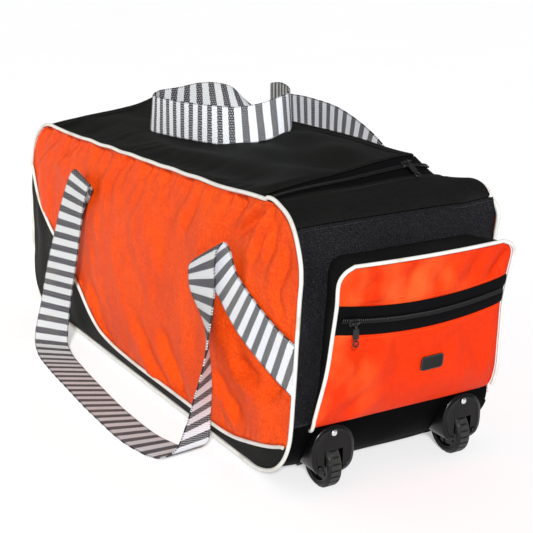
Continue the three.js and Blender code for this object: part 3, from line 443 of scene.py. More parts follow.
    @property
    def top_span(self) -> float:
        """Half width of the cloth of the top."""
        return self.top_half - self.cloth - self.seam_gap

    def top_run(self, x: Array) -> Array:
        """Run along the top at which it reaches an x."""
        step = np.searchsorted(-self.top_rows[:, 2], -np.asarray(x, float))
        return self.top_rows[np.minimum(step, len(self.top_rows) - 1), 1]

    def top_point(self, run: Array, span: Array, lift: Array | float, out: Array | float) -> Array:
        """Points of the top, at a run along it and a distance from its middle line.

        Args:
            run: Run from the wheel-end seam.
            span: Distance from the middle line, towards the far side.
            lift: Share of the lid's rise.
            out: Distance off the cloth.

        Returns:
            The points.
        """
        place = np.interp(run, self.top_rows[:, 1], self.top_rows[:, 0])
        across = np.clip(span / self.top_span, -1, 1)
        full = 1 + (self.zip_far - self.zip_width / 2) / self.top_span
        rise = self.lid_lift * ((1 + across) / full) ** 0.9
        return self.wrap_point(place, across, self.crown(place, across) + lift * rise + out)

    @property
    def lid_count(self) -> int:
        """Steps of the whole path round the lid: a leg, a bend, the far stretch, a bend and a leg."""
        legs, bends, stretch = self.lid_steps
        return 2 * legs + 2 * bends + stretch

    def lid_level(self, x: Array, y: Array) -> Array:
        """Level of the lid's face."""
        return self.top_point(self.top_run(x), np.asarray(y, float), 1, 0)[:, 2]

    def lid_path(self, share: Array, wheel: float, tail: float, far: float, bend: float) -> tuple[Array, Array]:
        """Run and span of a three-sided path round the lid: wheel end, far side, tail end.

        Args:
            share: Shares of the path from 0 to 1.
            wheel: Run of its wheel-end leg.
            tail: Run of its tail-end leg.
            far: Span of its far stretch.
            bend: Radius of its two corners.

        Returns:
            Runs and spans.
        """
        legs, bends, stretch = self.lid_steps
        step = np.asarray(share) * self.lid_count
        near_end = -self.top_span
        part = np.clip(step / legs, 0, 1)
        run, span = np.full_like(step, wheel), mix(near_end, far - bend, part)
        turn = np.clip((step - legs) / bends, 0, 1) * np.pi / 2
        run, span = run + bend * (1 - np.cos(turn)), span + bend * np.sin(turn)
        start = legs + bends
        run = run + np.clip((step - start) / stretch, 0, 1) * (tail - wheel - 2 * bend)
        start += stretch
        turn = np.clip((step - start) / bends, 0, 1) * np.pi / 2
        run, span = run + bend * np.sin(turn), span - bend * (1 - np.cos(turn))
        return run, span + np.clip((step - start - bends) / legs, 0, 1) * (near_end - far + bend)

    def zip_path(self, share: Array, inward: float) -> tuple[Array, Array]:
        """Path round the lid at a distance in from the middle of the zip."""
        wheel = float(self.top_run(self.zip_wheel_x)) + inward
        tail = float(self.top_run(self.zip_tail_x)) - inward
        return self.lid_path(share, wheel, tail, self.zip_far - inward, self.zip_bend - inward)

    def zip_point(self, share: Array, over: Array | float, out: Array | float) -> Array:
        """Points of the main zip's tape, over running from 0 at the border to 1 at the lid."""
        half = self.zip_width / 2
        share, over = np.broadcast_arrays(np.asarray(share, float), np.asarray(over, float))
        low_run, low_span = self.zip_path(share, -half)
        high_run, high_span = self.zip_path(share, half)
        return self.top_point(mix(low_run, high_run, over), mix(low_span, high_span, over), over, out)


FORM = BagForm()


def math_node(operation: str, turned: bool = False) -> Callable[["Value", "Value | float"], "Value"]:
    """Operator of Value that lays a math node.

    Args:
        operation: The node's operation.
        turned: True if the other value comes first.

    Returns:
        The operator.
    """

    def lay(self: "Value", other: "Value | float") -> "Value":
        """Math node of this value and another one."""
        first, second = (other, self) if turned else (self, other)
        return self.maker.node("ShaderNodeMath", {"operation": operation}, {0: first, 1: second})

    return lay


class Value:
    """A socket on its way through a material, so that sums are written as plain expressions."""

    def __init__(self, maker: "Painter", socket: bpy.types.NodeSocket) -> None:
        """Keeps the socket and the material that it is in."""
        self.maker = maker
        self.socket = socket

    __add__, __radd__ = math_node("ADD"), math_node("ADD", True)
    __sub__, __rsub__ = math_node("SUBTRACT"), math_node("SUBTRACT", True)
    __mul__, __rmul__ = math_node("MULTIPLY"), math_node("MULTIPLY", True)
    __truediv__, __lt__ = math_node("DIVIDE"), math_node("LESS_THAN")

    def bent(self, operation: str) -> "Value":
        """Math node of this value alone, such as SINE, FRACT, FLOOR or ABSOLUTE."""
        return self.maker.node("ShaderNodeMath", {"operation": operation}, {0: self})

    def part(self, index: int) -> "Value":
        """One of the three numbers of a vector."""
        return self.maker.node("ShaderNodeSeparateXYZ", {}, {0: self}, index)


class Painter:
    """One material while its nodes are laid."""

    def __init__(self, name: str) -> None:
        """Starts an empty material."""
        self.material = bpy.data.materials.new(name)
        self.material.use_nodes = True
        self.tree = self.material.node_tree
        self.tree.nodes.clear()

    def node(self, kind: str, settings: dict | None = None, sockets: dict | None = None, out: int = 0) -> Value:
        """Adds a node.

        Args:
            kind: The node's type.
            settings: Its settings, set first.
            sockets: Values or links of its sockets.
            out: Number of the output that is wanted.

        Returns:
            That output.
        """
        made = self.tree.nodes.new(kind)
        for name, value in (settings or {}).items():
            setattr(made, name, value)
        for name, value in (sockets or {}).items():
            if isinstance(value, Value):
                self.tree.links.new(value.socket, made.inputs[name])
            else:
                made.inputs[name].default_value = value
        return Value(self, made.outputs[out])

    def place(self) -> Value:
        """Object coordinates."""
        return self.node("ShaderNodeTexCoord", out=3)

    def thread(self) -> tuple[Value, Value]:
        """The two numbers of the piece's UV map, in metres along the cloth."""
        uv = self.node("ShaderNodeTexCoord", out=2)
        return uv.part(0), uv.part(1)

    def mark(self, name: str) -> Value:
        """One of the piece's own attributes."""
        return self.node("ShaderNodeAttribute", {"attribute_name": name}, {}, 2)

    def noise(self, size: float, detail: float = 2.0, stretch: Sequence[float] = (1, 1, 1)) -> Value:
        """Noise of a size in metres on Object coordinates, about 0.5."""
        scaled = self.node("ShaderNodeMapping", {}, {"Vector": self.place(), "Scale": tuple(stretch)})
        return self.node("ShaderNodeTexNoise", {}, {"Vector": scaled, "Scale": 1 / size, "Detail": detail})

    def blend(self, low: "Value | Sequence[float]", high: "Value | Sequence[float]", share: Value) -> Value:
        """Colour between two colours."""
        return self.node("ShaderNodeMix", {"data_type": "RGBA"}, {0: share, 6: low, 7: high}, 2)

    def limited(self, value: Value, low: float, high: float) -> Value:
        """Value taken from low..high to 0..1 and held there."""
        return self.node("ShaderNodeMapRange", {"clamp": True}, {0: value, 1: low, 2: high, 3: 0.0, 4: 1.0})

    def finish(
        self, colour: Value, roughness: Value, height: Value | None, depth: float, **sockets: Value | float,
    ) -> bpy.types.Material:
        """Closes the material with its surface.

        Args:
            colour: Base colour.
            roughness: Roughness.
            height: Height of the fine relief, from 0 to 1.
            depth: Depth of that relief in metres.
            **sockets: Other inputs of the surface, with _ for a space in a socket's name.

        Returns:
            The material.
        """
        inputs: dict = {name.replace("_", " "): value for name, value in sockets.items()}
        inputs["Base Color"] = colour
        inputs["Roughness"] = roughness
        if height is not None:
            relief = {"Strength": 1.0, "Distance": depth, "Height": height}
            inputs["Normal"] = self.node("ShaderNodeBump", {}, relief)
        surface = self.node("ShaderNodeBsdfPrincipled", {}, inputs)
        end = self.tree.nodes.new("ShaderNodeOutputMaterial")
        self.tree.links.new(surface.socket, end.inputs["Surface"])
        return self.material


def linear(red: int, green: int, blue: int) -> tuple[float, float, float, float]:
    """Colour for a shader from its screen values of 0 to 255."""
    screen = [value / 255 for value in (red, green, blue)]
    light = [value / 12.92 if value <= 0.04045 else ((value + 0.055) / 1.055) ** 2.4 for value in screen]
    return light[0], light[1], light[2], 1.0


LINT = (0.07, 0.07, 0.08, 1)
# Lighter orange of the painted sheen patches.
SHEEN_ORANGE = linear(250, 112, 52)


@dataclass(frozen=True)
class ClothFinish:
    """Plain woven cloth, with patches of painted sheen where its pale mark asks. The pitch of its threads and
    the depth of its relief are in mm.
    """

    name: str
    slot: str
    colour: tuple[int, int, int]
    shade: tuple[int, int, int]
    pitch: float
    relief: float
    roughness: float
    gloss: float
    speck: float = 0.0
    # Strength of the painted sheen patches.
    pale: float = 0.0

    def material(self) -> bpy.types.Material:
        """Lays the cloth's nodes."""
        paint = Painter(self.name)
        u, v = paint.thread()
        across, along = u / (self.pitch * MM), v / (self.pitch * MM)
        checks = ((across.bent("FLOOR") + along.bent("FLOOR")) * 0.5).bent("FRACT") * 2.0
        warp = (across * math.pi).bent("SINE").bent("ABSOLUTE")
        weft = (along * math.pi).bent("SINE").bent("ABSOLUTE")
        weave = checks * warp + (1.0 - checks) * weft
        fuzz = paint.noise(0.0022, 3)
        broad = paint.noise(0.11, 2)
        slub = paint.noise(0.0046, 2, (1, 1, 0.2)) * 0.5 + paint.noise(0.0046, 2, (0.2, 0.2, 1)) * 0.5
        grain = paint.noise(0.0032, 1)
        height = weave * 0.4 + fuzz * 0.3 + slub * 0.9 + grain * 1.0
        worn = paint.limited(broad * 0.25 + fuzz * 0.2 + slub * 0.35 + grain * 0.5, 0.5, 0.82)
        colour = paint.blend(linear(*self.shade), linear(*self.colour), worn)
        if self.speck:
            lint = paint.limited(paint.noise(0.001, 1), 0.5, 0.75) * self.speck
            colour = paint.blend(colour, LINT, lint)
        # Pale patches are painted sheen: lighter orange blended in where the piece's pale mark is set.
        if self.pale:
            patch = paint.limited(paint.noise(0.045, 2, (1, 1, 0.6)), 0.42, 0.68)
            colour = paint.blend(colour, SHEEN_ORANGE, patch * paint.mark("pale") * (0.5 + fuzz) * self.pale)
        roughness = self.roughness + 0.16 * (fuzz - 0.5) + 0.08 * (broad - 0.5)
        return paint.finish(colour, roughness, height, self.relief * MM, Specular_IOR_Level=self.gloss)


@dataclass(frozen=True)
class PipingFinish:
    """Smooth coated piping, a little creamed with handling."""

    name: str = "piping_skin"
    slot: str = "white_piping"

    def material(self) -> bpy.types.Material:
        """Lays the piping's nodes."""
        paint = Painter(self.name)
        grime = paint.limited(paint.noise(0.035, 4), 0.5, 0.9)
        colour = paint.blend(linear(206, 206, 202), linear(160, 154, 138), grime)
        grain = paint.noise(0.0012, 2)
        roughness = 0.38 + 0.3 * (paint.noise(0.02, 2) - 0.4)
        return paint.finish(colour, roughness, grain, 0.08 * MM, Specular_IOR_Level=0.45)


@dataclass(frozen=True)
class WebbingFinish:
    """Cross-striped webbing with a zigzag weave, greyer on its back."""

    name: str = "handle_webbing"
    slot: str = "striped_webbing"
    period: float = 21.5
    dark: float = 0.48
    rib: float = 3.7
    bead: float = 3.4
    width: float = 56

    def material(self) -> bpy.types.Material:
        """Lays the webbing's nodes on its UV map, whose first number runs across the strap."""
        paint = Painter(self.name)
        u, v = paint.thread()
        back = paint.mark("back")
        rib_u, rib_v = u / (self.rib * MM), v / (self.rib * 0.74 * MM)
        zigzag = (rib_u.bent("FRACT") - 0.5).bent("ABSOLUTE") * 2.0
        drift = (paint.noise(0.012, 2) - 0.5) * 0.06
        stripe = (v / (self.period * MM) + zigzag * 0.035 + drift).bent("FRACT")
        dark = stripe < self.dark
        step = (rib_u.bent("FLOOR") * 0.5).bent("FRACT")
        cell = (rib_v + step).bent("FRACT")
        knot = ((cell - 0.5).bent("ABSOLUTE") < 0.2) * (zigzag < 0.62)
        white = paint.blend(linear(206, 209, 215), linear(182, 185, 186), back)
        white = paint.blend(white, linear(70, 70, 76), knot * 0.42)
        black = paint.blend(linear(4, 4, 7), linear(30, 28, 34), back)
        black = paint.blend(black, linear(214, 216, 222), knot * (0.62 - 0.3 * back))
        colour = paint.blend(white, black, dark)
        bead = (v / (self.bead * MM)).bent("FRACT") < 0.6
        inside = (u / (self.width * MM) - 0.5).bent("ABSOLUTE") < 0.474
        colour = paint.blend(colour, linear(34, 34, 38), (1.0 - inside) * bead * 0.85)
        soil = paint.limited(paint.noise(0.05, 3), 0.5, 0.85)
        colour = paint.blend(colour, linear(150, 140, 122), soil * 0.16)
        height = zigzag * 0.5 + (cell - 0.5).bent("ABSOLUTE") * 0.9 + paint.noise(0.0015, 1) * 0.3
        roughness = 0.72 + 0.1 * zigzag
        # Emission in the webbing's own colour is a painted glow that lifts its shaded parts.
        return paint.finish(
            colour, roughness, height, 0.5 * MM,
            Specular_IOR_Level=0.2, Emission_Color=colour, Emission_Strength=0.2,
        )


@dataclass(frozen=True)
class TapeFinish:
    """Ribbed zip tape."""

    name: str
    slot: str
    rib: float = 1.7

    def material(self) -> bpy.types.Material:
        """Lays the tape's nodes, with ribs along it."""
        paint = Painter(self.name)
        along, across = paint.thread()
        rib = (across / (self.rib * MM) * 2 * math.pi).bent("SINE") * 0.5 + 0.5
        stitch = (along / (1.3 * MM) * 2 * math.pi).bent("SINE") * 0.5 + 0.5
        fuzz = paint.noise(0.002, 3)
        light = paint.limited(rib * 0.5 + fuzz * 0.6, 0.2, 1.0)
        colour = paint.blend(linear(3, 3, 4), linear(10, 10, 12), light)
        height = rib * 0.7 + stitch * 0.3
        return paint.finish(colour, 0.7 + 0.15 * fuzz, height, 0.25 * MM, Specular_IOR_Level=0.06)


@dataclass(frozen=True)
class HardFinish:
    """Moulded or metal piece with fine grain, scuffs and brighter worn edges."""

    name: str
    slot: str
    colour: tuple[int, int, int]
    worn: tuple[int, int, int]
    roughness: float
    grain: float
    metallic: float = 0.0
    coat: float = 0.0
    mark: str = ""
    gloss: float = 0.5

    def material(self) -> bpy.types.Material:
        """Lays the nodes."""
        paint = Painter(self.name)
        scuff = paint.limited(paint.noise(0.006, 5, (1, 1, 3)), 0.58, 0.74)
        wear = scuff * 0.35
        if self.mark:
            wear = paint.limited(wear + paint.mark(self.mark), 0.0, 1.0)
        colour = paint.blend(linear(*self.colour), linear(*self.worn), wear)
        fine = paint.noise(0.0009, 2)
        roughness = self.roughness + 0.22 * scuff + 0.1 * (paint.noise(0.03, 2) - 0.5)
        return paint.finish(
            colour, roughness, fine, self.grain * MM,
            Metallic=self.metallic, Coat_Weight=self.coat, Specular_IOR_Level=self.gloss,
        )


@dataclass(frozen=True)
class ThreadFinish:
    """Sewing thread."""

    name: str
    slot: str
    colour: tuple[int, int, int]

    def material(self) -> bpy.types.Material:
        """Lays the thread's nodes."""
        paint = Painter(self.name)
        twist = paint.noise(0.0008, 2)
        dim = tuple(int(value * 0.6) for value in self.colour)
        colour = paint.blend(linear(*dim), linear(*self.colour), paint.limited(twist, 0.3, 0.6))
        return paint.finish(colour, 0.55 + 0.2 * twist, twist, 0.1 * MM, Specular_IOR_Level=0.3)


class Kit(Enum):
    """Finishes of the bag."""

    # ORANGE and ORANGE_END are one orange cloth coloured twice: the sides' lighter, yellower orange is painted
    # sheen of cloth seen at a glancing angle, and the pocket's redder orange is its less lit look.
    ORANGE = ClothFinish(
        "orange_nylon", "orange_cloth", (236, 82, 6), (204, 54, 2),
        pitch=1.1, relief=0.5, roughness=0.5, gloss=0.14,
    )
    ORANGE_END = ClothFinish(
        "orange_end_nylon", "orange_cloth", (214, 49, 1), (198, 39, 1),
        pitch=1.1, relief=0.3, roughness=0.5, gloss=0.08, pale=0.44,
    )
    BLACK = ClothFinish(
        "black_nylon", "black_cloth", (17, 18, 16), (8, 9, 9),
        pitch=0.9, relief=0.12, roughness=0.64, gloss=0.1,
    )
    WEAVE = ClothFinish(
        "coarse_weave", "black_weave", (14, 14, 16), (6, 6, 8),
        pitch=1.9, relief=0.3, roughness=0.68, gloss=0.1, speck=0.45,
    )
    # A darker copy of the black weave for the base and the wheel band: painted shade of the bag's underside.
    BASE = ClothFinish(
        "shaded_base_nylon", "black_weave", (5, 5, 6), (2, 2, 3), pitch=1.2, relief=0.12, roughness=0.7, gloss=0.03,
    )
    PIPING = PipingFinish()
    WEBBING = WebbingFinish()
    TAPE = TapeFinish("zip_tape", "black_weave")
    TEETH = HardFinish("zip_coil", "zip_metal", (12, 12, 14), (60, 61, 64), 0.34, 0.02, gloss=0.3)
    SLIDER = HardFinish("zip_slider", "zip_metal", (44, 45, 46), (120, 121, 122), 0.36, 0.02, metallic=0.7)
    PLASTIC = HardFinish(
        "moulded_plastic", "housing_plastic", (5, 5, 6), (16, 16, 18), 0.28, 0.03, coat=0.08, gloss=0.22,
    )
    TYRE = HardFinish(
        "tyre_rubber", "wheel_rubber", (9, 10, 10), (74, 76, 72), 0.5, 0.12, mark="wear", gloss=0.25,
    )
    STEEL = HardFinish("rivet_steel", "steel", (226, 227, 229), (160, 160, 160), 0.2, 0.02, metallic=1.0)
    PATCH = HardFinish(
        "patch_rubber", "plain_patch", (8, 8, 9), (52, 52, 54), 0.45, 0.06, mark="wear", gloss=0.25,
    )
    BLACKED = HardFinish("blacked_rivet", "steel", (9, 9, 10), (34, 34, 36), 0.4, 0.02, gloss=0.3)
    ORANGE_THREAD = ThreadFinish("orange_thread", "orange_cloth", (244, 80, 14))
    BLACK_THREAD = ThreadFinish("black_thread", "black_cloth", (46, 47, 50))

    def dress(self, piece: Piece) -> None:
        """Gives a piece this finish."""
        made = bpy.data.materials.get(self.value.name) or self.value.material()
        piece.data.materials.clear()
        piece.data.materials.append(made)


def deselect() -> None:
    """Clears the selection, so that an operator takes the new piece alone."""
    bpy.ops.object.select_all(action="DESELECT")


def take(piece: Piece) -> None:
    """Makes a piece the only selected one and the active one."""
    deselect()
    piece.select_set(True)
    bpy.context.view_layer.objects.active = piece


def named(name: str) -> Piece:
    """Names the piece that an operator has just added."""
    piece = bpy.context.object
    piece.name = piece.data.name = name
    return piece


@contextmanager
def editing(piece: Piece, pick: Callable[[bmesh.types.BMFace], bool] | None = None) -> Iterator[None]:
    """Edit mode on a piece, with its whole mesh selected, or the faces that pick says.

    Args:
        piece: The piece.
        pick: True for a face that is wanted.

    Yields:
        Nothing. The piece is in edit mode until the block ends.
    """
    take(piece)
    bpy.ops.object.mode_set(mode="EDIT")
    if pick is None:
        bpy.ops.mesh.select_all(action="SELECT")
    else:
        mesh = bmesh.from_edit_mesh(piece.data)
        for face in mesh.faces:
            face.select_set(pick(face))
        bmesh.update_edit_mesh(piece.data)
    yield
    bpy.ops.object.mode_set(mode="OBJECT")


def modify(piece: Piece, kind: str, **settings: object) -> None:
    """Adds a modifier to a piece, sets it and applies it."""
    take(piece)
    modifier = piece.modifiers.new(kind.title(), kind)
    for name, value in settings.items():
        setattr(modifier, name, value)
    bpy.ops.object.modifier_apply(modifier=modifier.name)


def places(piece: Piece) -> Array:
    """Points of a piece's mesh, in mm."""
    flat = np.empty(len(piece.data.vertices) * 3)
    piece.data.vertices.foreach_get("co", flat)
    return flat.reshape(-1, 3) / MM


def put(piece: Piece, points: Array) -> None:
    """Moves a piece's points, in mm."""
    piece.data.vertices.foreach_set("co", (points * MM).ravel())
    piece.data.update()


def settle(piece: Piece) -> None:
    """Applies a piece's place to its mesh, so that its object sits at the origin."""
    take(piece)
    bpy.ops.object.transform_apply(location=True, rotation=True, scale=True)


def face_out(piece: Piece) -> None:
    """Merges doubles and turns every face of a closed piece outwards."""
    with editing(piece):
        bpy.ops.mesh.remove_doubles(threshold=1e-6)
        bpy.ops.mesh.normals_make_consistent(inside=False)


def inset(*steps: tuple[float, float], each: bool = False) -> None:
    """Insets the selected faces step by step.

    Args:
        *steps: Width and rise of each step, in mm.
        each: True to inset each face by itself.
    """
    for width, rise in steps:
        bpy.ops.mesh.inset(thickness=width * MM, depth=rise * MM, use_individual=each)


def cylinder(name: str, radius: float, length: float, middle: Sequence[float], axis: str, sides: int) -> Piece:
    """Round bar along X or Y, in mm."""
    deselect()
    bpy.ops.mesh.primitive_cylinder_add(
        vertices=sides, radius=radius * MM, depth=length * MM, location=[value * MM for value in middle],
        rotation={"X": (0, math.pi / 2, 0), "Y": (math.pi / 2, 0, 0)}[axis],
    )
    piece = named(name)
    settle(piece)
    return piece


def combine(piece: Piece, other: Piece, operation: str) -> None:
    """Joins, cuts or meets a piece with another, which is then removed."""
    modify(piece, "BOOLEAN", object=other, operation=operation, solver="EXACT")
    bpy.data.objects.remove(other)


def smooth(piece: Piece, angle: float = 40) -> None:
    """Smooth shading up to an angle in degrees."""
    take(piece)
    bpy.ops.object.shade_smooth_by_angle(angle=math.radians(angle))


def mark_points(piece: Piece, name: str, values: Array) -> None:
    """Keeps a number for each point of a piece as an attribute."""
    kept = piece.data.attributes.new(name, "FLOAT", "POINT")
    kept.data.foreach_set("value", np.asarray(values, np.float32))


def lay_threads(piece: Piece, threads: Array) -> None:
    """Sets the UV map from two lengths for each point, in mm."""
    mesh = piece.data
    layer = mesh.uv_layers.active or mesh.uv_layers.new(name="UVMap")
    layer.active = layer.active_render = True
    corners = np.empty(len(mesh.loops), int)
    mesh.loops.foreach_get("vertex_index", corners)
    layer.data.foreach_set("uv", (threads[corners] * MM).ravel())


def keep(piece: Piece, finish: Kit, body: str, *nodes: str) -> Piece:
    """Dresses a finished piece, lets it ride on a body and stand for nodes, and reports it.

    Args:
        piece: The finished piece.
        finish: Its finish.
        body: The body that it moves with.
        *nodes: The solids that it stands for.

    Returns:
        The piece.
    """
    finish.dress(piece)
    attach(piece, body)
    if nodes:
        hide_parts(*nodes)
    LOG.info("%s: %d faces", piece.name, len(piece.data.polygons))
    return piece


def cloth(name: str, columns: int, rows: int, surface: Surface, away: Sequence[float] = (0, 0, 180)) -> Piece:
    """Sheet of cloth from a grid laid on a surface, with its wall inwards.

    Args:
        name: Name of the piece.
        columns: Faces along.
        rows: Faces across.
        surface: Points in mm at two shares from 0 to 1.
        away: Point that the outer face looks away from, in mm.

    Returns:
        The sheet, with its UV map in metres along its threads.
    """
    deselect()
    bpy.ops.mesh.primitive_grid_add(x_subdivisions=columns, y_subdivisions=rows, size=1.0)
    piece = named(name)
    flat = places(piece) * MM + 0.5
    points = FORM.rolled(surface(flat[:, 0], flat[:, 1]))
    index = np.empty((rows + 1, columns + 1), int)
    column, row = np.rint(flat[:, :2] * (columns, rows)).astype(int).T
    index[row, column] = np.arange(len(flat))
    net = points[index]
    threads = np.zeros((len(flat), 2))
    for axis in (0, 1):
        steps = np.linalg.norm(np.diff(net, axis=1 - axis), axis=2)
        run = np.cumsum(np.insert(steps, 0, 0, axis=1 - axis), axis=1 - axis)
        threads[index, axis] = run
    put(piece, points)
    normals = np.empty(len(piece.data.polygons) * 3)
    middles = np.empty_like(normals)
    piece.data.polygons.foreach_get("normal", normals)
    piece.data.polygons.foreach_get("center", middles)
    outward = (normals.reshape(-1, 3) * (middles.reshape(-1, 3) - np.array(away) * MM)).sum()
    if outward < 0:
        piece.data.flip_normals()
    lay_threads(piece, threads)
    modify(piece, "SOLIDIFY", thickness=FORM.cloth * MM, offset=-1.0, use_even_offset=False)
    smooth(piece, 55)
    return piece


def from_points(name: str, points: Array, faces: Sequence[tuple[int, ...]]) -> Piece:
    """New piece from points in mm, moved with the soft form of the bag, and faces."""
    mesh = bpy.data.meshes.new(name)
    mesh.from_pydata([tuple(point) for point in FORM.rolled(points.reshape(-1, 3)) * MM], [], faces)
    piece = bpy.data.objects.new(name, mesh)
    bpy.context.scene.collection.objects.link(piece)
    return piece


def sweep(name: str, sections: Array, ring: bool) -> Piece:
    """Closed body through a row of like sections.

    Args:
        name: Name of the piece.
        sections: Points by section and place round it, in mm.
        ring: True if the last section joins the first.

    Returns:
        The piece, facing outwards.
    """
    count, size = sections.shape[:2]
    faces = []
    for i in range(count if ring else count - 1):
        here, after = i * size, ((i + 1) % count) * size
        for j in range(size):
            k = (j + 1) % size
            faces.append((here + j, here + k, after + k, after + j))
    if not ring:
        faces.append(tuple(range(size)))
        faces.append(tuple((count - 1) * size + j for j in range(size)))
    piece = from_points(name, sections, faces)
    with editing(piece):
        bpy.ops.mesh.normals_make_consistent(inside=False)
    smooth(piece, 50)
    return piece


def piping(name: str, path: Array, off: Array, radius: float, node: str, ring: bool = False) -> Piece:
    """Round piping along a path, dressed.

    Args:
        name: Name of the piece.
        path: Middle line in mm.
        off: Direction off the cloth, one for the path or one for each of its points.
        radius: Radius in mm.
        node: The solid that it stands for.
        ring: True if the path is closed.

    Returns:
        The piece.
    """
    if ring:
        forward = unit(np.roll(path, -1, axis=0) - np.roll(path, 1, axis=0))
    else:
        forward = unit(np.gradient(path, axis=0))
    right = unit(off - forward * (off * forward).sum(axis=1, keepdims=True))
    up = np.cross(forward, right)
    turn = np.linspace(0, 2 * np.pi, TRIM_SIDES, endpoint=False)[None, :, None]
    sections = path[:, None] + radius * (np.cos(turn) * right[:, None] + np.sin(turn) * up[:, None])
    return keep(sweep(name, sections, ring), Kit.PIPING, "bag", node)


def repeat(name: str, pattern: Piece, at: Array, along: Array, off: Array) -> Piece:
    """One piece made of copies of a small pattern, which is then removed.

    Args:
        name: Name of the new piece.
        pattern: Small piece about the origin: X along, Y across, Z off the cloth.
        at: Places of the copies in mm.
        along: Direction of each copy's X.
        off: Direction of each copy's Z.

    Returns:
        The new piece.
    """
    z = unit(off)
    x = unit(along - z * (along * z).sum(axis=1, keepdims=True))
    y = np.cross(z, x)
    local = places(pattern)
    points = at[:, None]
    for k, axis in enumerate((x, y, z)):
        points = points + local[None, :, k:k + 1] * axis[:, None]
    shape = [tuple(face.vertices) for face in pattern.data.polygons]
    count = len(local)
    faces = [tuple(i * count + v for v in face) for i in range(len(at)) for face in shape]
    piece = from_points(name, points, faces)
    bpy.data.objects.remove(pattern)
    smooth(piece, 60)
    return piece


def stitch_pattern() -> Piece:
    """One sewing stitch: a slim thread that dips at both ends."""
    piece = cylinder("stitch_pattern", THREAD_R, STITCH_LENGTH, (0, 0, 0), "X", 5)
    with editing(piece):
        bpy.ops.mesh.bisect(plane_co=(0, 0, 0), plane_no=(1, 0, 0))
    points = places(piece)
    points[:, 2] += THREAD_R * 0.7 - THREAD_R * 1.1 * (2 * points[:, 0] / STITCH_LENGTH) ** 2
    put(piece, points)
    return piece


def stitches(name: str, path: Array, off: Array | Sequence[float], finish: Kit) -> Piece:
    """Row of stitches along a path on the cloth.

    Args:
        name: Name of the piece.
        path: Points of the row in mm.
        off: Direction off the cloth, one for the row or one for each point.
        finish: Thread.

    Returns:
        The row, riding on the bag.
    """
    at = evenly(path, STITCH_PITCH)
    run, new = lengths_along(path), lengths_along(at) + STITCH_PITCH / 2
    off = resampled(np.broadcast_to(np.asarray(off, float), path.shape), run, new)
    return keep(repeat(name, stitch_pattern(), at, np.gradient(at, axis=0), off), finish, "bag")


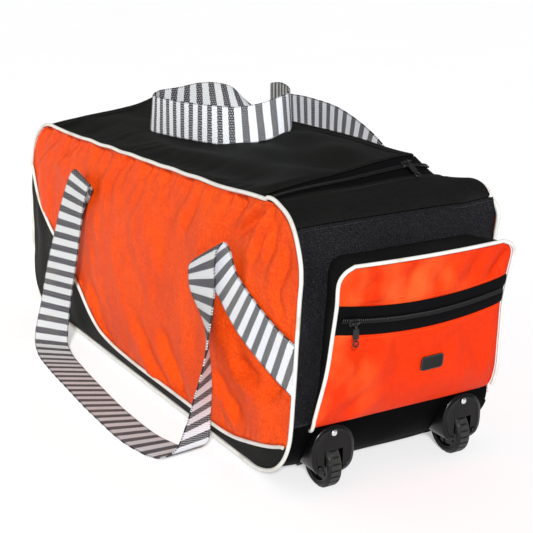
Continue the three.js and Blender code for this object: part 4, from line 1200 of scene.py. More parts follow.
@dataclass
class LongSide:
    """One long side: orange and black cloth, and the piping round and between them."""

    hand: Hand
    columns: int = 430
    rows: int = 96
    wheel_length: float = 917
    tail_length: float = 906
    tuck_in: float = 7.0
    heel_in: float = 11.0
    outline_r: float = 2.7
    accent_r: float = 2.5
    stitch_in: float = 5.0
    crease_gain: float = 2.6
    far_shift: float = 30
    legs: tuple[tuple[tuple[float, float], ...], ...] = (((459, 171), (296, 262)), ((-238, 202), (-146, 288)))
    creases: tuple[Crease, ...] = (
        Crease((393, 364), (314, 308), 3.4, 8), Crease((399, 362), (364, 284), 3.0, 8),
        Crease((404, 352), (400, 290), 2.0, 9), Crease((35, 100), (118, 28), 2.6, 13),
        Crease((108, 122), (172, 34), 2.6, 14), Crease((330, 146), (392, 134), 3.2, 11),
        Crease((275, 112), (345, 64), 2.8, 13), Crease((441, 305), (417, 258), 2.2, 9),
        Crease((417, 262), (439, 228), 2.2, 9), Crease((-402, 276), (-318, 336), 2.0, 9),
        Crease((-312, 288), (-240, 338), 1.8, 10), Crease((-160, 120), (-110, 40), 2.2, 16),
        Crease((40, 330), (8, 262), 1.6, 10), Crease((-60, 332), (-96, 270), 1.6, 11),
        Crease((210, 340), (176, 282), 1.8, 11), Crease((400, 118), (440, 160), 2.4, 12),
    )

    def share_of(self, u: Array) -> Array:
        """Share of the length, with its columns closer together towards the ends."""
        return eased(u, 0.72)

    def seam_of(self, share: Array) -> Array:
        """Height share of the lower edge of the orange cloth."""
        return np.where(share > FORM.seam_end, 0.0, FORM.seam_height(share))

    def relief(self, share: Array, height: Array, seam: Array) -> Array:
        """Height of puckers, folds and the tuck into the seams on the orange cloth."""
        foot_x, foot_z, top_x, top_z = FORM.column(share)
        x, z = mix(foot_x, top_x, height), mix(foot_z, top_z, height)
        seed = 20 + self.hand.value
        to_top = (1 - height) * (top_z - foot_z)
        to_seam = (height - seam) * (top_z - foot_z)
        to_wheel, to_tail = (1 - share) * self.wheel_length, share * self.tail_length
        result = Gathers(21, 8.0, 24, -0.55, seed).at(x, to_top)
        result += Gathers(50, 10.0, 62, -0.65, seed + 2).at(x, to_top)
        result += Gathers(16, 3.5, 18, 0.1, seed + 4).at(x, to_seam)
        result += Gathers(13, 4.5, 20, 0.15, seed + 6).at(z, to_wheel)
        result += Gathers(15, 4.0, 18, 0.1, seed + 8).at(z, to_tail)
        shift = self.far_shift if self.hand is Hand.FAR else 0
        for crease in self.creases:
            result += self.crease_gain * crease.at(x + shift, z)
        points = points_of(x, np.zeros_like(x), z)
        broad, fine = Ripple((95, 95, 190), 2.2, seed + 10), Ripple((34, 34, 70), 0.9, seed + 11)
        result += broad.at(points) + fine.at(points)
        result = np.where(result > 0.5, mix(result, 0.5, self.under_strap(x, z)), result)
        result = np.where(result > 0, result * ramp(to_wheel, 0, 55), result * ramp(to_wheel, 0, 36))
        edge = np.minimum.reduce([to_top, to_seam, to_wheel, to_tail])
        return result * ramp(edge, 0, 6) - 1.6 * np.exp(-edge / 3.5)

    def under_strap(self, x: Array, z: Array) -> Array:
        """Share to which the sewn webbing holds the cloth flat."""
        held = np.zeros_like(x)
        for low, high in self.legs:
            line = np.subtract(high, low)
            along = np.clip(((x - low[0]) * line[0] + (z - low[1]) * line[1]) / (line @ line), 0, 1)
            gap = np.hypot(x - low[0] - along * line[0], z - low[1] - along * line[1])
            held = np.maximum(held, 1 - ramp(gap, 34, 62))
        return held

    def orange(self, u: Array, v: Array) -> Array:
        """Surface of the orange cloth."""
        share = self.share_of(u)
        seam = self.seam_of(share)
        height = mix(seam, 1.0, eased(v, 0.6))
        points = FORM.side_point(share, height, self.hand, self.relief(share, height, seam))
        if self.hand is Hand.FAR:
            _, foot_z, _, top_z = FORM.column(share)
            gap = (1 - height) * (top_z - foot_z)
            corner = FORM.wheel_top
            out_x = np.maximum(points[:, 0] - corner.x + corner.reach_x, 0)
            out_z = np.maximum(points[:, 2] - corner.z + corner.reach_z, 1)
            points -= unit(points_of(out_x, 0, out_z)) * (self.tuck(points) * np.exp(-gap / 14))[:, None]
            points[:, 0] -= self.heel(points) * np.exp((share - 1) * 65)
        return points

    def tuck(self, points: Array) -> Array:
        """Distance by which the far side's top edge is drawn in below the black border."""
        return self.tuck_in * ramp(points[:, 0], 150, 220) * ramp(points[:, 2], 318, 345)

    def heel(self, points: Array) -> Array:
        """Distance by which the far side's low wheel corner is drawn in behind the wheel band."""
        return self.heel_in * ramp(points[:, 0], 370, 420) * (1 - ramp(points[:, 2], 110, 170))

    def black(self, u: Array, v: Array) -> Array:
        """Surface of the black cloth below the sweeping seam."""
        share = self.share_of(u) * FORM.seam_end
        seam = FORM.seam_height(share)
        height = seam * v
        _, foot_z, _, top_z = FORM.column(share)
        x = mix(-453, 459, share)
        edge = end_gap(v) * (seam * (top_z - foot_z))
        points = points_of(x, np.zeros_like(x), height * 340)
        wave = Ripple((70, 70, 90), 1.2, 41 + self.hand.value).at(points)
        return FORM.side_point(share, height, self.hand, wave * ramp(edge, 0, 12) - 1.2 * np.exp(-edge / 3.5))

    def outline_path(self) -> tuple[Array, Array]:
        """Middle line of the piping round the side, and its directions off the cloth."""
        share = self.share_of(np.linspace(0, 1, 190))
        up = np.linspace(0, 1, 34)[1:-1]
        foot = FORM.side_point(share, np.zeros_like(share), self.hand)
        wheel = FORM.side_point(np.ones_like(up), up, self.hand)
        top = FORM.side_point(share[::-1], np.ones_like(share), self.hand)
        tail = FORM.side_point(np.zeros_like(up), up[::-1], self.hand)
        closed = np.vstack([foot, wheel, top, tail, foot[:1]])
        run = lengths_along(closed)
        path = resampled(closed, run, np.arange(0, run[-1], TRIM_PITCH))
        ahead = unit(np.roll(path, -1, axis=0) - np.roll(path, 1, axis=0))
        out = unit(points_of(ahead[:, 2], 0, -ahead[:, 0]))
        off = 0.7 * out + np.array([0, 0.7 * self.hand.value, 0])
        x = path[:, 0]
        on_top = path[:, 2] > 330
        lap = 3.2 * ramp(x, 379, 385) * (1 - ramp(x, 392, 420)) * on_top
        slack = Ripple((60, 60, 60), 0.35, 61 + self.hand.value).at(path)
        if self.hand is Hand.FAR:
            slack = slack - self.tuck(path)
            path[:, 1] -= 2.4 * ramp(x, 400, 440)
            path[:, 0] -= self.heel(path)
        return path + out * (2.4 + lap + slack)[:, None] + off * 0.3, off

    def build(self) -> None:
        """Makes and dresses the side."""
        word = self.hand.word
        orange = cloth(f"{word}_side_cloth", self.columns, self.rows, self.orange)
        keep(orange, Kit.ORANGE, "bag", f"{word}_side_panel")
        black = cloth(f"{word}_accent_cloth", 220, 20, self.black)
        keep(black, Kit.BLACK, "bag", f"{word}_accent_panel")
        path, off = self.outline_path()
        piping(f"{word}_outline_trim", path, off, self.outline_r, f"{word}_outline_piping", ring=True)
        share = self.share_of(np.linspace(0.004, 0.996, 230)) * FORM.seam_end
        seam = evenly(FORM.side_point(share, FORM.seam_height(share), self.hand, 2.1), TRIM_PITCH)
        off = np.array([[0.0, self.hand.value, 0.0]])
        piping(f"{word}_accent_trim", seam, off, self.accent_r, f"{word}_accent_piping")
        self.sew()

    def sew(self) -> None:
        """Stitches on the orange cloth beside the piping."""
        share = self.share_of(np.linspace(0.01, 0.99, 500))
        _, foot_z, _, top_z = FORM.column(share)
        up = np.linspace(0.03, 0.97, 160)
        beside = np.full_like(up, 1 - self.stitch_in / self.wheel_length)
        for name, along, height, seam in (
            ("top", share, 1 - self.stitch_in / (top_z - foot_z), self.seam_of(share)),
            ("end", beside, up, np.zeros_like(up)),
        ):
            row = FORM.side_point(along, height, self.hand, self.relief(along, height, seam) + 0.1)
            stitches(f"{self.hand.word}_{name}_stitches", row, (0, self.hand.value, 0), Kit.ORANGE_THREAD)


class WrapCloth:
    """Black cloth between the long sides: base, wheel band, wheel end and tail end."""

    def sheet(self, name: str, start: float, stop: float, columns: int, rows: int, wave: Ripple) -> Piece:
        """One sheet between two places on the outline, no lower than the floor.

        Args:
            name: Name of the piece.
            start: Place at which it starts.
            stop: Place at which it stops.
            columns: Faces along.
            rows: Faces across.
            wave: Its soft waves.

        Returns:
            The sheet.
        """

        def surface(u: Array, v: Array) -> Array:
            """Points of the sheet."""
            place = mix(start + 0.003, stop - 0.003, u)
            across = mix(-1.0, 1.0, v)
            base = FORM.wrap_point(place, across, 0)
            edge = np.minimum(end_gap(u) * 260 * (stop - start), end_gap(v) * 300)
            soft = wave.at(base) * ramp(edge, 0, 20) - 1.3 * np.exp(-edge / 3)
            points = FORM.wrap_point(place, across, FORM.crown(place, across) + soft)
            points[:, 2] = np.maximum(points[:, 2], 0)
            return points

        return cloth(name, columns, rows, surface)

    def open_wells(self, piece: Piece) -> None:
        """Cuts the openings for both wheels, a seam's gap clear of their wells."""
        for hand in Hand:
            corner = WheelCorner(hand)
            room = corner.wall + FORM.seam_gap
            combine(piece, corner.bar(corner.well_r + room, corner.well_width + 2 * room), "DIFFERENCE")

    def build(self) -> None:
        """Makes and dresses the four sheets."""
        waves = {
            "base": Ripple((160, 160, 90), 0.8, 71), "wheel_band": Ripple((60, 80, 60), 0.5, 72),
            "wheel_end": Ripple((90, 120, 90), 1.1, 73), "tail_end": Ripple((90, 110, 90), 2.2, 74),
        }
        for name, start, stop, columns, rows, finish, node in (
            # The base and the wheel band take the darker weave, which is painted shade.
            ("base", FORM.tail_to_base - FORM.lap, FORM.base_to_band, 150, 50, Kit.BASE, "base_panel"),
            ("wheel_band", FORM.base_to_band, FORM.band_to_end, 44, 110, Kit.BASE, "wheel_band"),
            ("wheel_end", FORM.band_to_end, FORM.end_to_top, 110, 110, Kit.WEAVE, "wheel_end_panel"),
            ("tail_end", FORM.top_to_tail, FORM.tail_to_base, 110, 90, Kit.BLACK, "tail_end_panel"),
        ):
            piece = self.sheet(f"{name}_cloth", start, stop, columns, rows, waves[name])
            if finish is Kit.BASE:
                self.open_wells(piece)
            keep(piece, finish, "bag", node)
        across = np.linspace(-0.985, 0.985, 200)
        for name, place in (("top", FORM.end_to_top - 0.045), ("foot", FORM.band_to_end + 0.03)):
            where = np.full(200, place)
            row = FORM.wrap_point(where, across, FORM.crown(where, across) + 0.2)
            off_x, off_z = FORM.outward(place)
            stitches(f"wheel_end_{name}_stitches", row, (float(off_x), 0, float(off_z)), Kit.BLACK_THREAD)


@dataclass
class ZippedTop:
    """Border, domed lid and the main zip between them."""

    home_step: float = 4.7

    def border(self, u: Array, v: Array) -> Array:
        """Surface of the border of the zipped opening, raised into a welt along the zip."""
        inner_run, inner_span = FORM.zip_path(u, -FORM.zip_width / 2 - FORM.lid_gap)
        rim_run, rim_span = FORM.lid_path(u, 0.6, FORM.top_length - 0.6, FORM.top_span - 2, 6)
        run, span = mix(rim_run, inner_run, v), mix(rim_span, inner_span, v)
        to_zip = np.hypot(inner_run - run, inner_span - span)
        to_rim = np.hypot(rim_run - run, rim_span - span)
        base = FORM.top_point(run, span, 0, 0)
        soft = Ripple((80, 90, 80), 0.9, 81).at(base) * ramp(np.minimum(to_zip, to_rim), 0, 20)
        welt = 3.0 * bell(to_zip, 3.2, 3.4) + 1.0 * bell(to_zip, 12, 4)
        return FORM.top_point(run, span, 0, soft + welt - 1.3 * np.exp(-to_rim / 3))

    def lid(self, u: Array, v: Array) -> Array:
        """Surface of the lid, with a welt along the zip and long soft folds."""
        bend = FORM.zip_bend - FORM.zip_width / 2
        wheel = float(FORM.top_run(FORM.zip_wheel_x)) + FORM.zip_width / 2 + FORM.lid_gap
        tail = float(FORM.top_run(FORM.zip_tail_x)) - FORM.zip_width / 2 - FORM.lid_gap
        far = FORM.zip_far - FORM.zip_width / 2 - FORM.lid_gap
        run = mix(wheel, tail, eased(u, 0.7))
        to_end = np.minimum(run - wheel, tail - run)
        short = np.clip((bend - to_end) / bend, 0, 1)
        limit = far - bend * (1 - np.sqrt(1 - short**2))
        span = mix(-FORM.top_span, limit, v)
        to_zip = np.minimum(to_end, limit - span)
        to_near = span + FORM.top_span
        base = FORM.top_point(run, span, 1, 0)
        soft = Ripple((330, 55, 60), 2.6, 82).at(base) + Ripple((120, 60, 60), 1.8, 83).at(base)
        soft += Gathers(24, 3.4, 40, 0.3, 84).at(base[:, 0], to_near)
        soft = soft * ramp(np.minimum(to_zip, to_near), 0, 24)
        welt = 3.4 * bell(to_zip, 3.4, 3.4) - 1.0 * bell(to_zip, 12, 5)
        return FORM.top_point(run, span, 1, soft + welt - 1.3 * np.exp(-to_near / 3))

    def tape(self, u: Array, v: Array) -> Array:
        """Surface of the zip's tape, low in its middle."""
        return FORM.zip_point(u, v, -1.4 * (1 - (2 * v - 1) ** 2) + 0.15)

    def teeth_frames(self) -> tuple[Array, Array, Array]:
        """Places of the teeth, their directions along the zip and off it."""
        share = np.linspace(0.002, 0.998, 3000)
        path = FORM.zip_point(share, 0.5, 0.1)
        over = FORM.zip_point(share, 0.55, 0.1) - FORM.zip_point(share, 0.45, 0.1)
        off = unit(np.cross(np.gradient(path, axis=0), over))
        off *= np.sign(off[:, 2:])
        at = evenly(path, TOOTH_PITCH)
        off = resampled(off, lengths_along(path), np.arange(len(at)) * TOOTH_PITCH + TOOTH_PITCH / 2)
        return at, np.gradient(at, axis=0), off

    def build(self) -> None:
        """Makes and dresses the top."""
        for name, columns, rows, surface, finish, node in (
            ("top_border_cloth", 330, 16, self.border, Kit.BLACK, "top_border"),
            ("lid_cloth", 200, 90, self.lid, Kit.BLACK, "lid"),
            ("main_zip_band", 330, 12, self.tape, Kit.TAPE, "main_zip_tape"),
        ):
            keep(cloth(name, columns, rows, surface), finish, "bag", node)
        teeth = repeat("main_zip_coil", tooth_pattern(), *self.teeth_frames())
        keep(teeth, Kit.TEETH, "bag", "main_zip_teeth")
        share = self.home_step / FORM.lid_count + np.array([-0.01, 0, 0.01])
        at = FORM.zip_point(share, 0.5, 0)
        over = FORM.zip_point(share, 0.6, 0)[1] - FORM.zip_point(share, 0.4, 0)[1]
        off = np.cross(at[2] - at[0], over)
        ZipSpot("main_zip", at[1], at[2] - at[0], off * np.sign(off[2])).build()
        stitched = FORM.zip_width / 2 + 9
        for name, inward, lift in (("lid", stitched, 1), ("border", -stitched, 0)):
            run, span = FORM.zip_path(np.linspace(0.01, 0.99, 900), inward)
            row = FORM.top_point(run, span, lift, 0.6)
            stitches(f"{name}_edge_stitches", row, (0, 0, 1), Kit.BLACK_THREAD)


def tooth_pattern() -> Piece:
    """One turn of a zip's coil: a rounded bar across the zip, about the origin."""
    deselect()
    bpy.ops.mesh.primitive_cube_add(size=1.0)
    piece = named("tooth_pattern")
    piece.scale = [value * MM for value in TOOTH_SIZE]
    piece.location = (0, 0, 1.5 * MM)
    settle(piece)
    with editing(piece):
        bpy.ops.mesh.bevel(offset=0.55 * MM, segments=1, affect="EDGES")
    points = places(piece)
    points[:, 0] += 0.16 * points[:, 1]
    put(piece, points)
    return piece


@dataclass
class ZipSpot:
    """Slider and pull of a zip at one place: X along the zip, Y across it, Z off the tape."""

    name: str
    at: Array
    along: Array
    off: Array
    floor: float = 2.9
    top: float = 5.9
    bridge: float = 9.3

    def frame(self) -> Matrix:
        """Place and turn of the zip there."""
        z = unit(np.asarray(self.off, float))
        x = unit(np.asarray(self.along, float) - z * np.dot(self.along, z))
        y = np.cross(z, x)
        place = np.asarray(self.at, float) * MM
        return Matrix([(*row, place[i]) for i, row in enumerate(np.stack([x, y, z], axis=1))] + [(0, 0, 0, 1)])

    @staticmethod
    def block(size: Sequence[float], middle: Sequence[float], bevel: float) -> Piece:
        """Block with rounded edges, in mm."""
        deselect()
        bpy.ops.mesh.primitive_cube_add(size=1.0, location=[value * MM for value in middle])
        piece = bpy.context.object
        piece.scale = [value * MM for value in size]
        settle(piece)
        modify(piece, "BEVEL", width=bevel * MM, segments=3, limit_method="NONE")
        return piece

    @staticmethod
    def ring(major: float, minor: float, middle: Sequence[float], turn: Sequence[float]) -> Piece:
        """Wire ring, in mm."""
        deselect()
        bpy.ops.mesh.primitive_torus_add(
            major_radius=major * MM, minor_radius=minor * MM, major_segments=28, minor_segments=10,
            location=[value * MM for value in middle], rotation=turn,
        )
        piece = bpy.context.object
        settle(piece)
        return piece

    def join(self, name: str, parts: Sequence[Piece]) -> Piece:
        """Joins parts into one piece and sets it on the zip."""
        deselect()
        for part in parts:
            part.select_set(True)
        bpy.context.view_layer.objects.active = parts[0]
        bpy.ops.object.join()
        piece = named(name)
        piece.data.transform(self.frame())
        put(piece, FORM.rolled(places(piece)))
        smooth(piece, 40)
        return piece

    def slider(self) -> Piece:
        """Slider: a waisted body with side rails and a bridge for the pull."""
        middle = (self.floor + self.top) / 2
        body = self.block((13, 10, self.top - self.floor), (0, 0, middle), 1.0)
        points = places(body)
        points[:, 1] *= 1 - 0.28 * ramp(points[:, 0], -2, 7)
        put(body, points)
        rails = [self.block((11, 1.4, 1.2), (-0.4, side * 3.4, self.top + 0.2), 0.5) for side in (-1, 1)]
        post = (2, 3, self.bridge - self.top + 1.8)
        posts = [self.block(post, (x, 0, (self.bridge + self.top) / 2), 0.6) for x in (-4.6, 4.6)]
        bar = cylinder("slider_bar", 1.2, 9, (0, 0, self.bridge), "X", 20)
        modify(bar, "BEVEL", width=0.3 * MM, segments=2, limit_method="ANGLE")
        return self.join(f"{self.name}_runner", [body, *rails, *posts, bar])

    def pull(self) -> Piece:
        """Pull: an eye on the bridge, a neck, a framed plate and a ring at its end."""
        eye = self.ring(2.15, 0.62, (0, 0, self.bridge), (0, math.pi / 2, 0))
        neck = self.block((3.4, 6.4, 1.6), (0, -5.2, self.bridge), 0.6)
        plate = self.block((8, 13, 1.8), (0, -13.5, self.bridge), 0.7)
        with editing(plate, lambda face: abs(face.normal.z) > 0.99 and face.calc_area() > 20 * MM**2):
            inset((1.0, 0), (0.3, -0.35), each=True)
        end = self.ring(3.5, 1.0, (0, -25.4, self.bridge), (0, 0, 0))
        return self.join(f"{self.name}_tab", [plate, eye, neck, end])

    def build(self) -> None:
        """Makes and dresses both."""
        keep(self.slider(), Kit.SLIDER, "bag", f"{self.name}_slider")
        keep(self.pull(), Kit.SLIDER, f"{self.name}_pull", f"{self.name}_pull")


@dataclass
class EndPocket:
    """Zipped pocket on the wheel end."""

    rows: tuple[tuple[float, ...], ...] = (
        (91, 461, 131, 124), (99, 474, 136, 122), (125, 486, 137, 119),
        (175, 496, 130, 116), (224, 502, 126, 114), (261, 510, 126, 112),
        (292, 516, 127, 111), (301, 517, 121, 106), (307, 517, 108, 96),
    )
    swell: float = 6
    sag: float = 11
    zip_low: float = 224
    zip_high: float = 261
    teeth_z: float = 243
    slider_y: float = -105
    slider_off: float = 1.43
    patch: tuple[float, float, float, float] = (20, 163, 34, 22)
    behind: tuple[float, float, float] = (300, 0, 200)
    columns: int = 130
    gusset_steps: int = 320
    crease_gain: float = 2.4
    piping_r: float = 2.4
    upper_creases: tuple[Crease, ...] = (
        Crease((-100, 268), (-60, 302), 1.6, 9), Crease((-30, 262), (-18, 300), 2.0, 10),
        Crease((14, 262), (30, 300), 2.0, 10), Crease((98, 264), (122, 298), 2.4, 8),
        Crease((60, 262), (74, 300), 1.2, 10),
    )
    lower_creases: tuple[Crease, ...] = (
        Crease((-112, 214), (-70, 170), 2.0, 10), Crease((-96, 150), (-70, 196), 1.6, 10),
        Crease((60, 200), (112, 150), 1.6, 14), Crease((-40, 208), (-20, 160), 1.4, 12),
        Crease((-100, 110), (-60, 140), 1.2, 12),
    )
    table: Array = field(init=False)

    def __post_init__(self) -> None:
        """Fills the table of level, face, front half width and back half width with a smooth curve."""
        curve = SmoothCurve(self.rows).at(np.linspace(0, 1, 600))
        self.table = curve[np.argsort(curve[:, 0])]

    @property
    def foot(self) -> float:
        """Level of the pocket's foot."""
        return self.rows[0][0]

    @property
    def top(self) -> float:
        """Level of the pocket's top."""
        return self.rows[-1][0]

    def level(self, z: Array, column: int) -> Array:
        """Column of the table at a level."""
        return np.interp(z, self.table[:, 0], self.table[:, column])

    def front(self, level: Array, across: Array, out: Array | float) -> Array:
        """Points of the pocket's front at a level of its cloth and a share across from -1 to 1."""
        slack = ramp(level, self.foot, self.zip_low) * (1 - ramp(level, self.zip_high, self.top))
        z = level - self.sag * slack * (1 - across**2)
        swell = self.swell * (1 - across**2) * ramp(z, self.foot, 150)
        return points_of(self.level(z, 1) + swell + out, across * self.level(z, 2), z)

    def panel(
        self, name: str, low: float, high: float, rows: int, seed: int, wave: float, creases: Sequence[Crease],
    ) -> Piece:
        """Part of the front between two levels.

        Args:
            name: Name of the piece.
            low: Its lower level.
            high: Its upper level.
            rows: Faces up it.
            seed: Seed of its waves.
            wave: Height of its waves.
            creases: Its folds, by y and level.

        Returns:
            The sheet.
        """

        def surface(u: Array, v: Array) -> Array:
            """Points of the panel."""
            across, level = mix(-1.0, 1.0, u), mix(low, high, v)
            base = self.front(level, across, 0)
            y, z = base[:, 1], base[:, 2]
            edge = np.minimum(end_gap(v) * (high - low), end_gap(u) * 255)
            relief = Ripple((50, 110, 90), wave, seed).at(base)
            relief += Ripple((30, 34, 40), 0.35 * wave, seed + 1).at(base)
            for crease in creases:
                relief += self.crease_gain * crease.at(y, z)
            return self.front(level, across, relief * ramp(edge, 0, 10) - 1.3 * np.exp(-edge / 3))

        return cloth(name, self.columns, rows, surface, self.behind)

    def rim(self, count: int) -> tuple[Array, Array, Array]:
        """Line round the front: up the near edge, over the top and down the far edge.

        Args:
            count: Points wanted.

        Returns:
            Levels, shares across and outward directions.
        """
        z = self.table[:, 0]
        half = self.table[:, 2]
        over = np.linspace(-1, 1, 200)[1:-1]
        level = np.concatenate([z, np.full_like(over, self.top), z[::-1]])
        y = np.concatenate([-half, over * half[-1], half[::-1]])
        path = points_of(np.zeros_like(y), y, level)
        run = lengths_along(path)
        even = np.linspace(0, run[-1], count)
        y, level = np.interp(even, run, y), np.interp(even, run, level)
        ahead = unit(np.gradient(points_of(np.zeros_like(y), y, level), axis=0))
        for _ in range(6):
            ahead[1:-1] = unit(ahead[:-2] + ahead[1:-1] + ahead[2:])
        return level, np.clip(y / self.level(level, 2), -1, 1), points_of(0, -ahead[:, 2], ahead[:, 1])

    def end_face(self, z: Array, y: Array) -> Array:
        """Face of the wheel end behind the pocket."""
        foot, top = FORM.wheel_foot, FORM.wheel_top
        share = (z - foot.z - foot.reach_z) / (top.z - top.reach_z - foot.z - foot.reach_z)
        turn = np.arcsin(np.clip((z - top.z + top.reach_z) / top.reach_z, 0, 1)) / (np.pi / 2)
        corner_x, _ = FORM.outline(3 + turn)
        x = np.where(z > top.z - top.reach_z, corner_x, mix(foot.x, top.x, share))
        return x + FORM.crown(np.minimum(2 + share, FORM.end_to_top), y / FORM.top_half)

    def gusset(self, u: Array, v: Array) -> Array:
        """Surface of the gusset between the front and the bag."""
        level, across, out = self.rim(self.gusset_steps + 1)
        place, index = u * self.gusset_steps, np.arange(self.gusset_steps + 1)
        level, across = np.interp(place, index, level), np.interp(place, index, across)
        out = resampled(out, index, place)
        front = self.front(level, across, -FORM.cloth - FORM.seam_gap) - out * 0.2
        y = across * self.level(level, 3)
        back = points_of(self.end_face(level, y) + FORM.seam_gap, y, level)
        base = mix(front, back, v[:, None])
        edge = end_gap(v) * 45
        relief = Ripple((50, 60, 60), 1.3, 91).at(base) * ramp(edge, 0, 12) + 2.2 * np.sin(np.pi * v)
        return base + out * relief[:, None]

    def plate(self) -> Piece:
        """Plain patch with rounded corners and a raised rim, bent to the front."""
        y, z, width, height = self.patch
        deselect()
        bpy.ops.mesh.primitive_plane_add(size=1.0)
        piece = named("pocket_plain_patch")
        piece.scale = (width * MM, height * MM, 1)
        settle(piece)
        with editing(piece):
            bpy.ops.mesh.bevel(offset=5 * MM, segments=6, affect="VERTICES")
            bpy.ops.mesh.extrude_region_move(TRANSFORM_OT_translate={"value": (0, 0, 1.2 * MM)})
            inset((0.5, 0.3), (1.1, 0), (0.4, -0.5))
        face_out(piece)
        points = places(piece)
        mark_points(piece, "wear", 0.9 * (points[:, 2] > 1.3))
        across = (y + points[:, 0]) / self.level(np.full(len(points), z), 2)
        level = z + self.sag * 0.55 + points[:, 1]
        put(piece, self.front(level, across, 0.7 + points[:, 2]))
        face_out(piece)
        smooth(piece, 40)
        return piece

    def tape(self, u: Array, v: Array) -> Array:
        """Surface of the zip's tape, with a fold along each side and low in its middle."""
        up = v * (self.zip_high - self.zip_low)
        lift = 1.0 * bell(up, 8, 5) + 1.2 * bell(up, 28, 5) - 0.8 * bell(up, 19, 4)
        return self.front(mix(self.zip_low, self.zip_high, v), mix(-1.0, 1.0, u), lift)

    def close(self) -> None:
        """Makes the teeth, the slider and the pull of the pocket's zip."""
        at = evenly(self.front(np.full(600, self.teeth_z), np.linspace(-0.94, 0.94, 600), 0.7), TOOTH_PITCH)
        off = np.broadcast_to(np.array([1.0, 0, 0]), at.shape)
        teeth = repeat("pocket_zip_coil", tooth_pattern(), at, np.gradient(at, axis=0), off)
        keep(teeth, Kit.TEETH, "bag", "pocket_zip_teeth")
        half = float(np.interp(self.teeth_z, [row[0] for row in self.rows], [row[2] for row in self.rows]))
        spot = self.front(np.array([self.teeth_z]), np.array([self.slider_y / half]), self.slider_off)[0]
        ZipSpot("pocket_zip", spot, np.array([0.0, 1, 0]), np.array([1.0, 0, 0])).build()

    def build(self) -> None:
        """Makes and dresses the pocket."""
        for word, low, high, rows, seed, wave, creases, pale in (
            ("lower", self.foot, self.zip_low - 0.4, 70, 92, 1.0, self.lower_creases, (-120, -20)),
            ("upper", self.zip_high + 0.4, self.top, 28, 94, 1.1, self.upper_creases, (0, 110)),
        ):
            front = self.panel(f"pocket_{word}_cloth", low, high, rows, seed, wave, creases)
            # The pale mark places painted sheen patches, strongest towards the near edge of each panel.
            mark_points(front, "pale", 1 - ramp(places(front)[:, 1], *pale))
            keep(front, Kit.ORANGE_END, "bag", f"pocket_{word}_front")
        band = cloth("pocket_zip_band", self.columns, 18, self.tape, self.behind)
        keep(band, Kit.TAPE, "bag", "pocket_zip_tape")
        gusset = cloth("pocket_gusset_cloth", self.gusset_steps, 14, self.gusset, (485, 0, 190))
        keep(gusset, Kit.BLACK, "bag", "pocket_gusset")
        level, across, out = (row[:-4] for row in self.rim(260))
        off = out * 0.8
        off[:, 0] += np.where(level < 110, 0.95, 0.68)
        piping("pocket_trim", self.front(level, across, 0) + off * 2.6, off, self.piping_r, "pocket_piping")
        self.close()
        keep(self.plate(), Kit.PATCH, "bag", "pocket_patch")
        for name, edge in (("low", self.zip_low - 4), ("high", self.zip_high + 4)):
            row = self.front(np.full(600, edge), np.linspace(-0.97, 0.97, 600), 0.2)
            stitches(f"pocket_{name}_stitches", row, (1, 0, 0), Kit.ORANGE_THREAD)


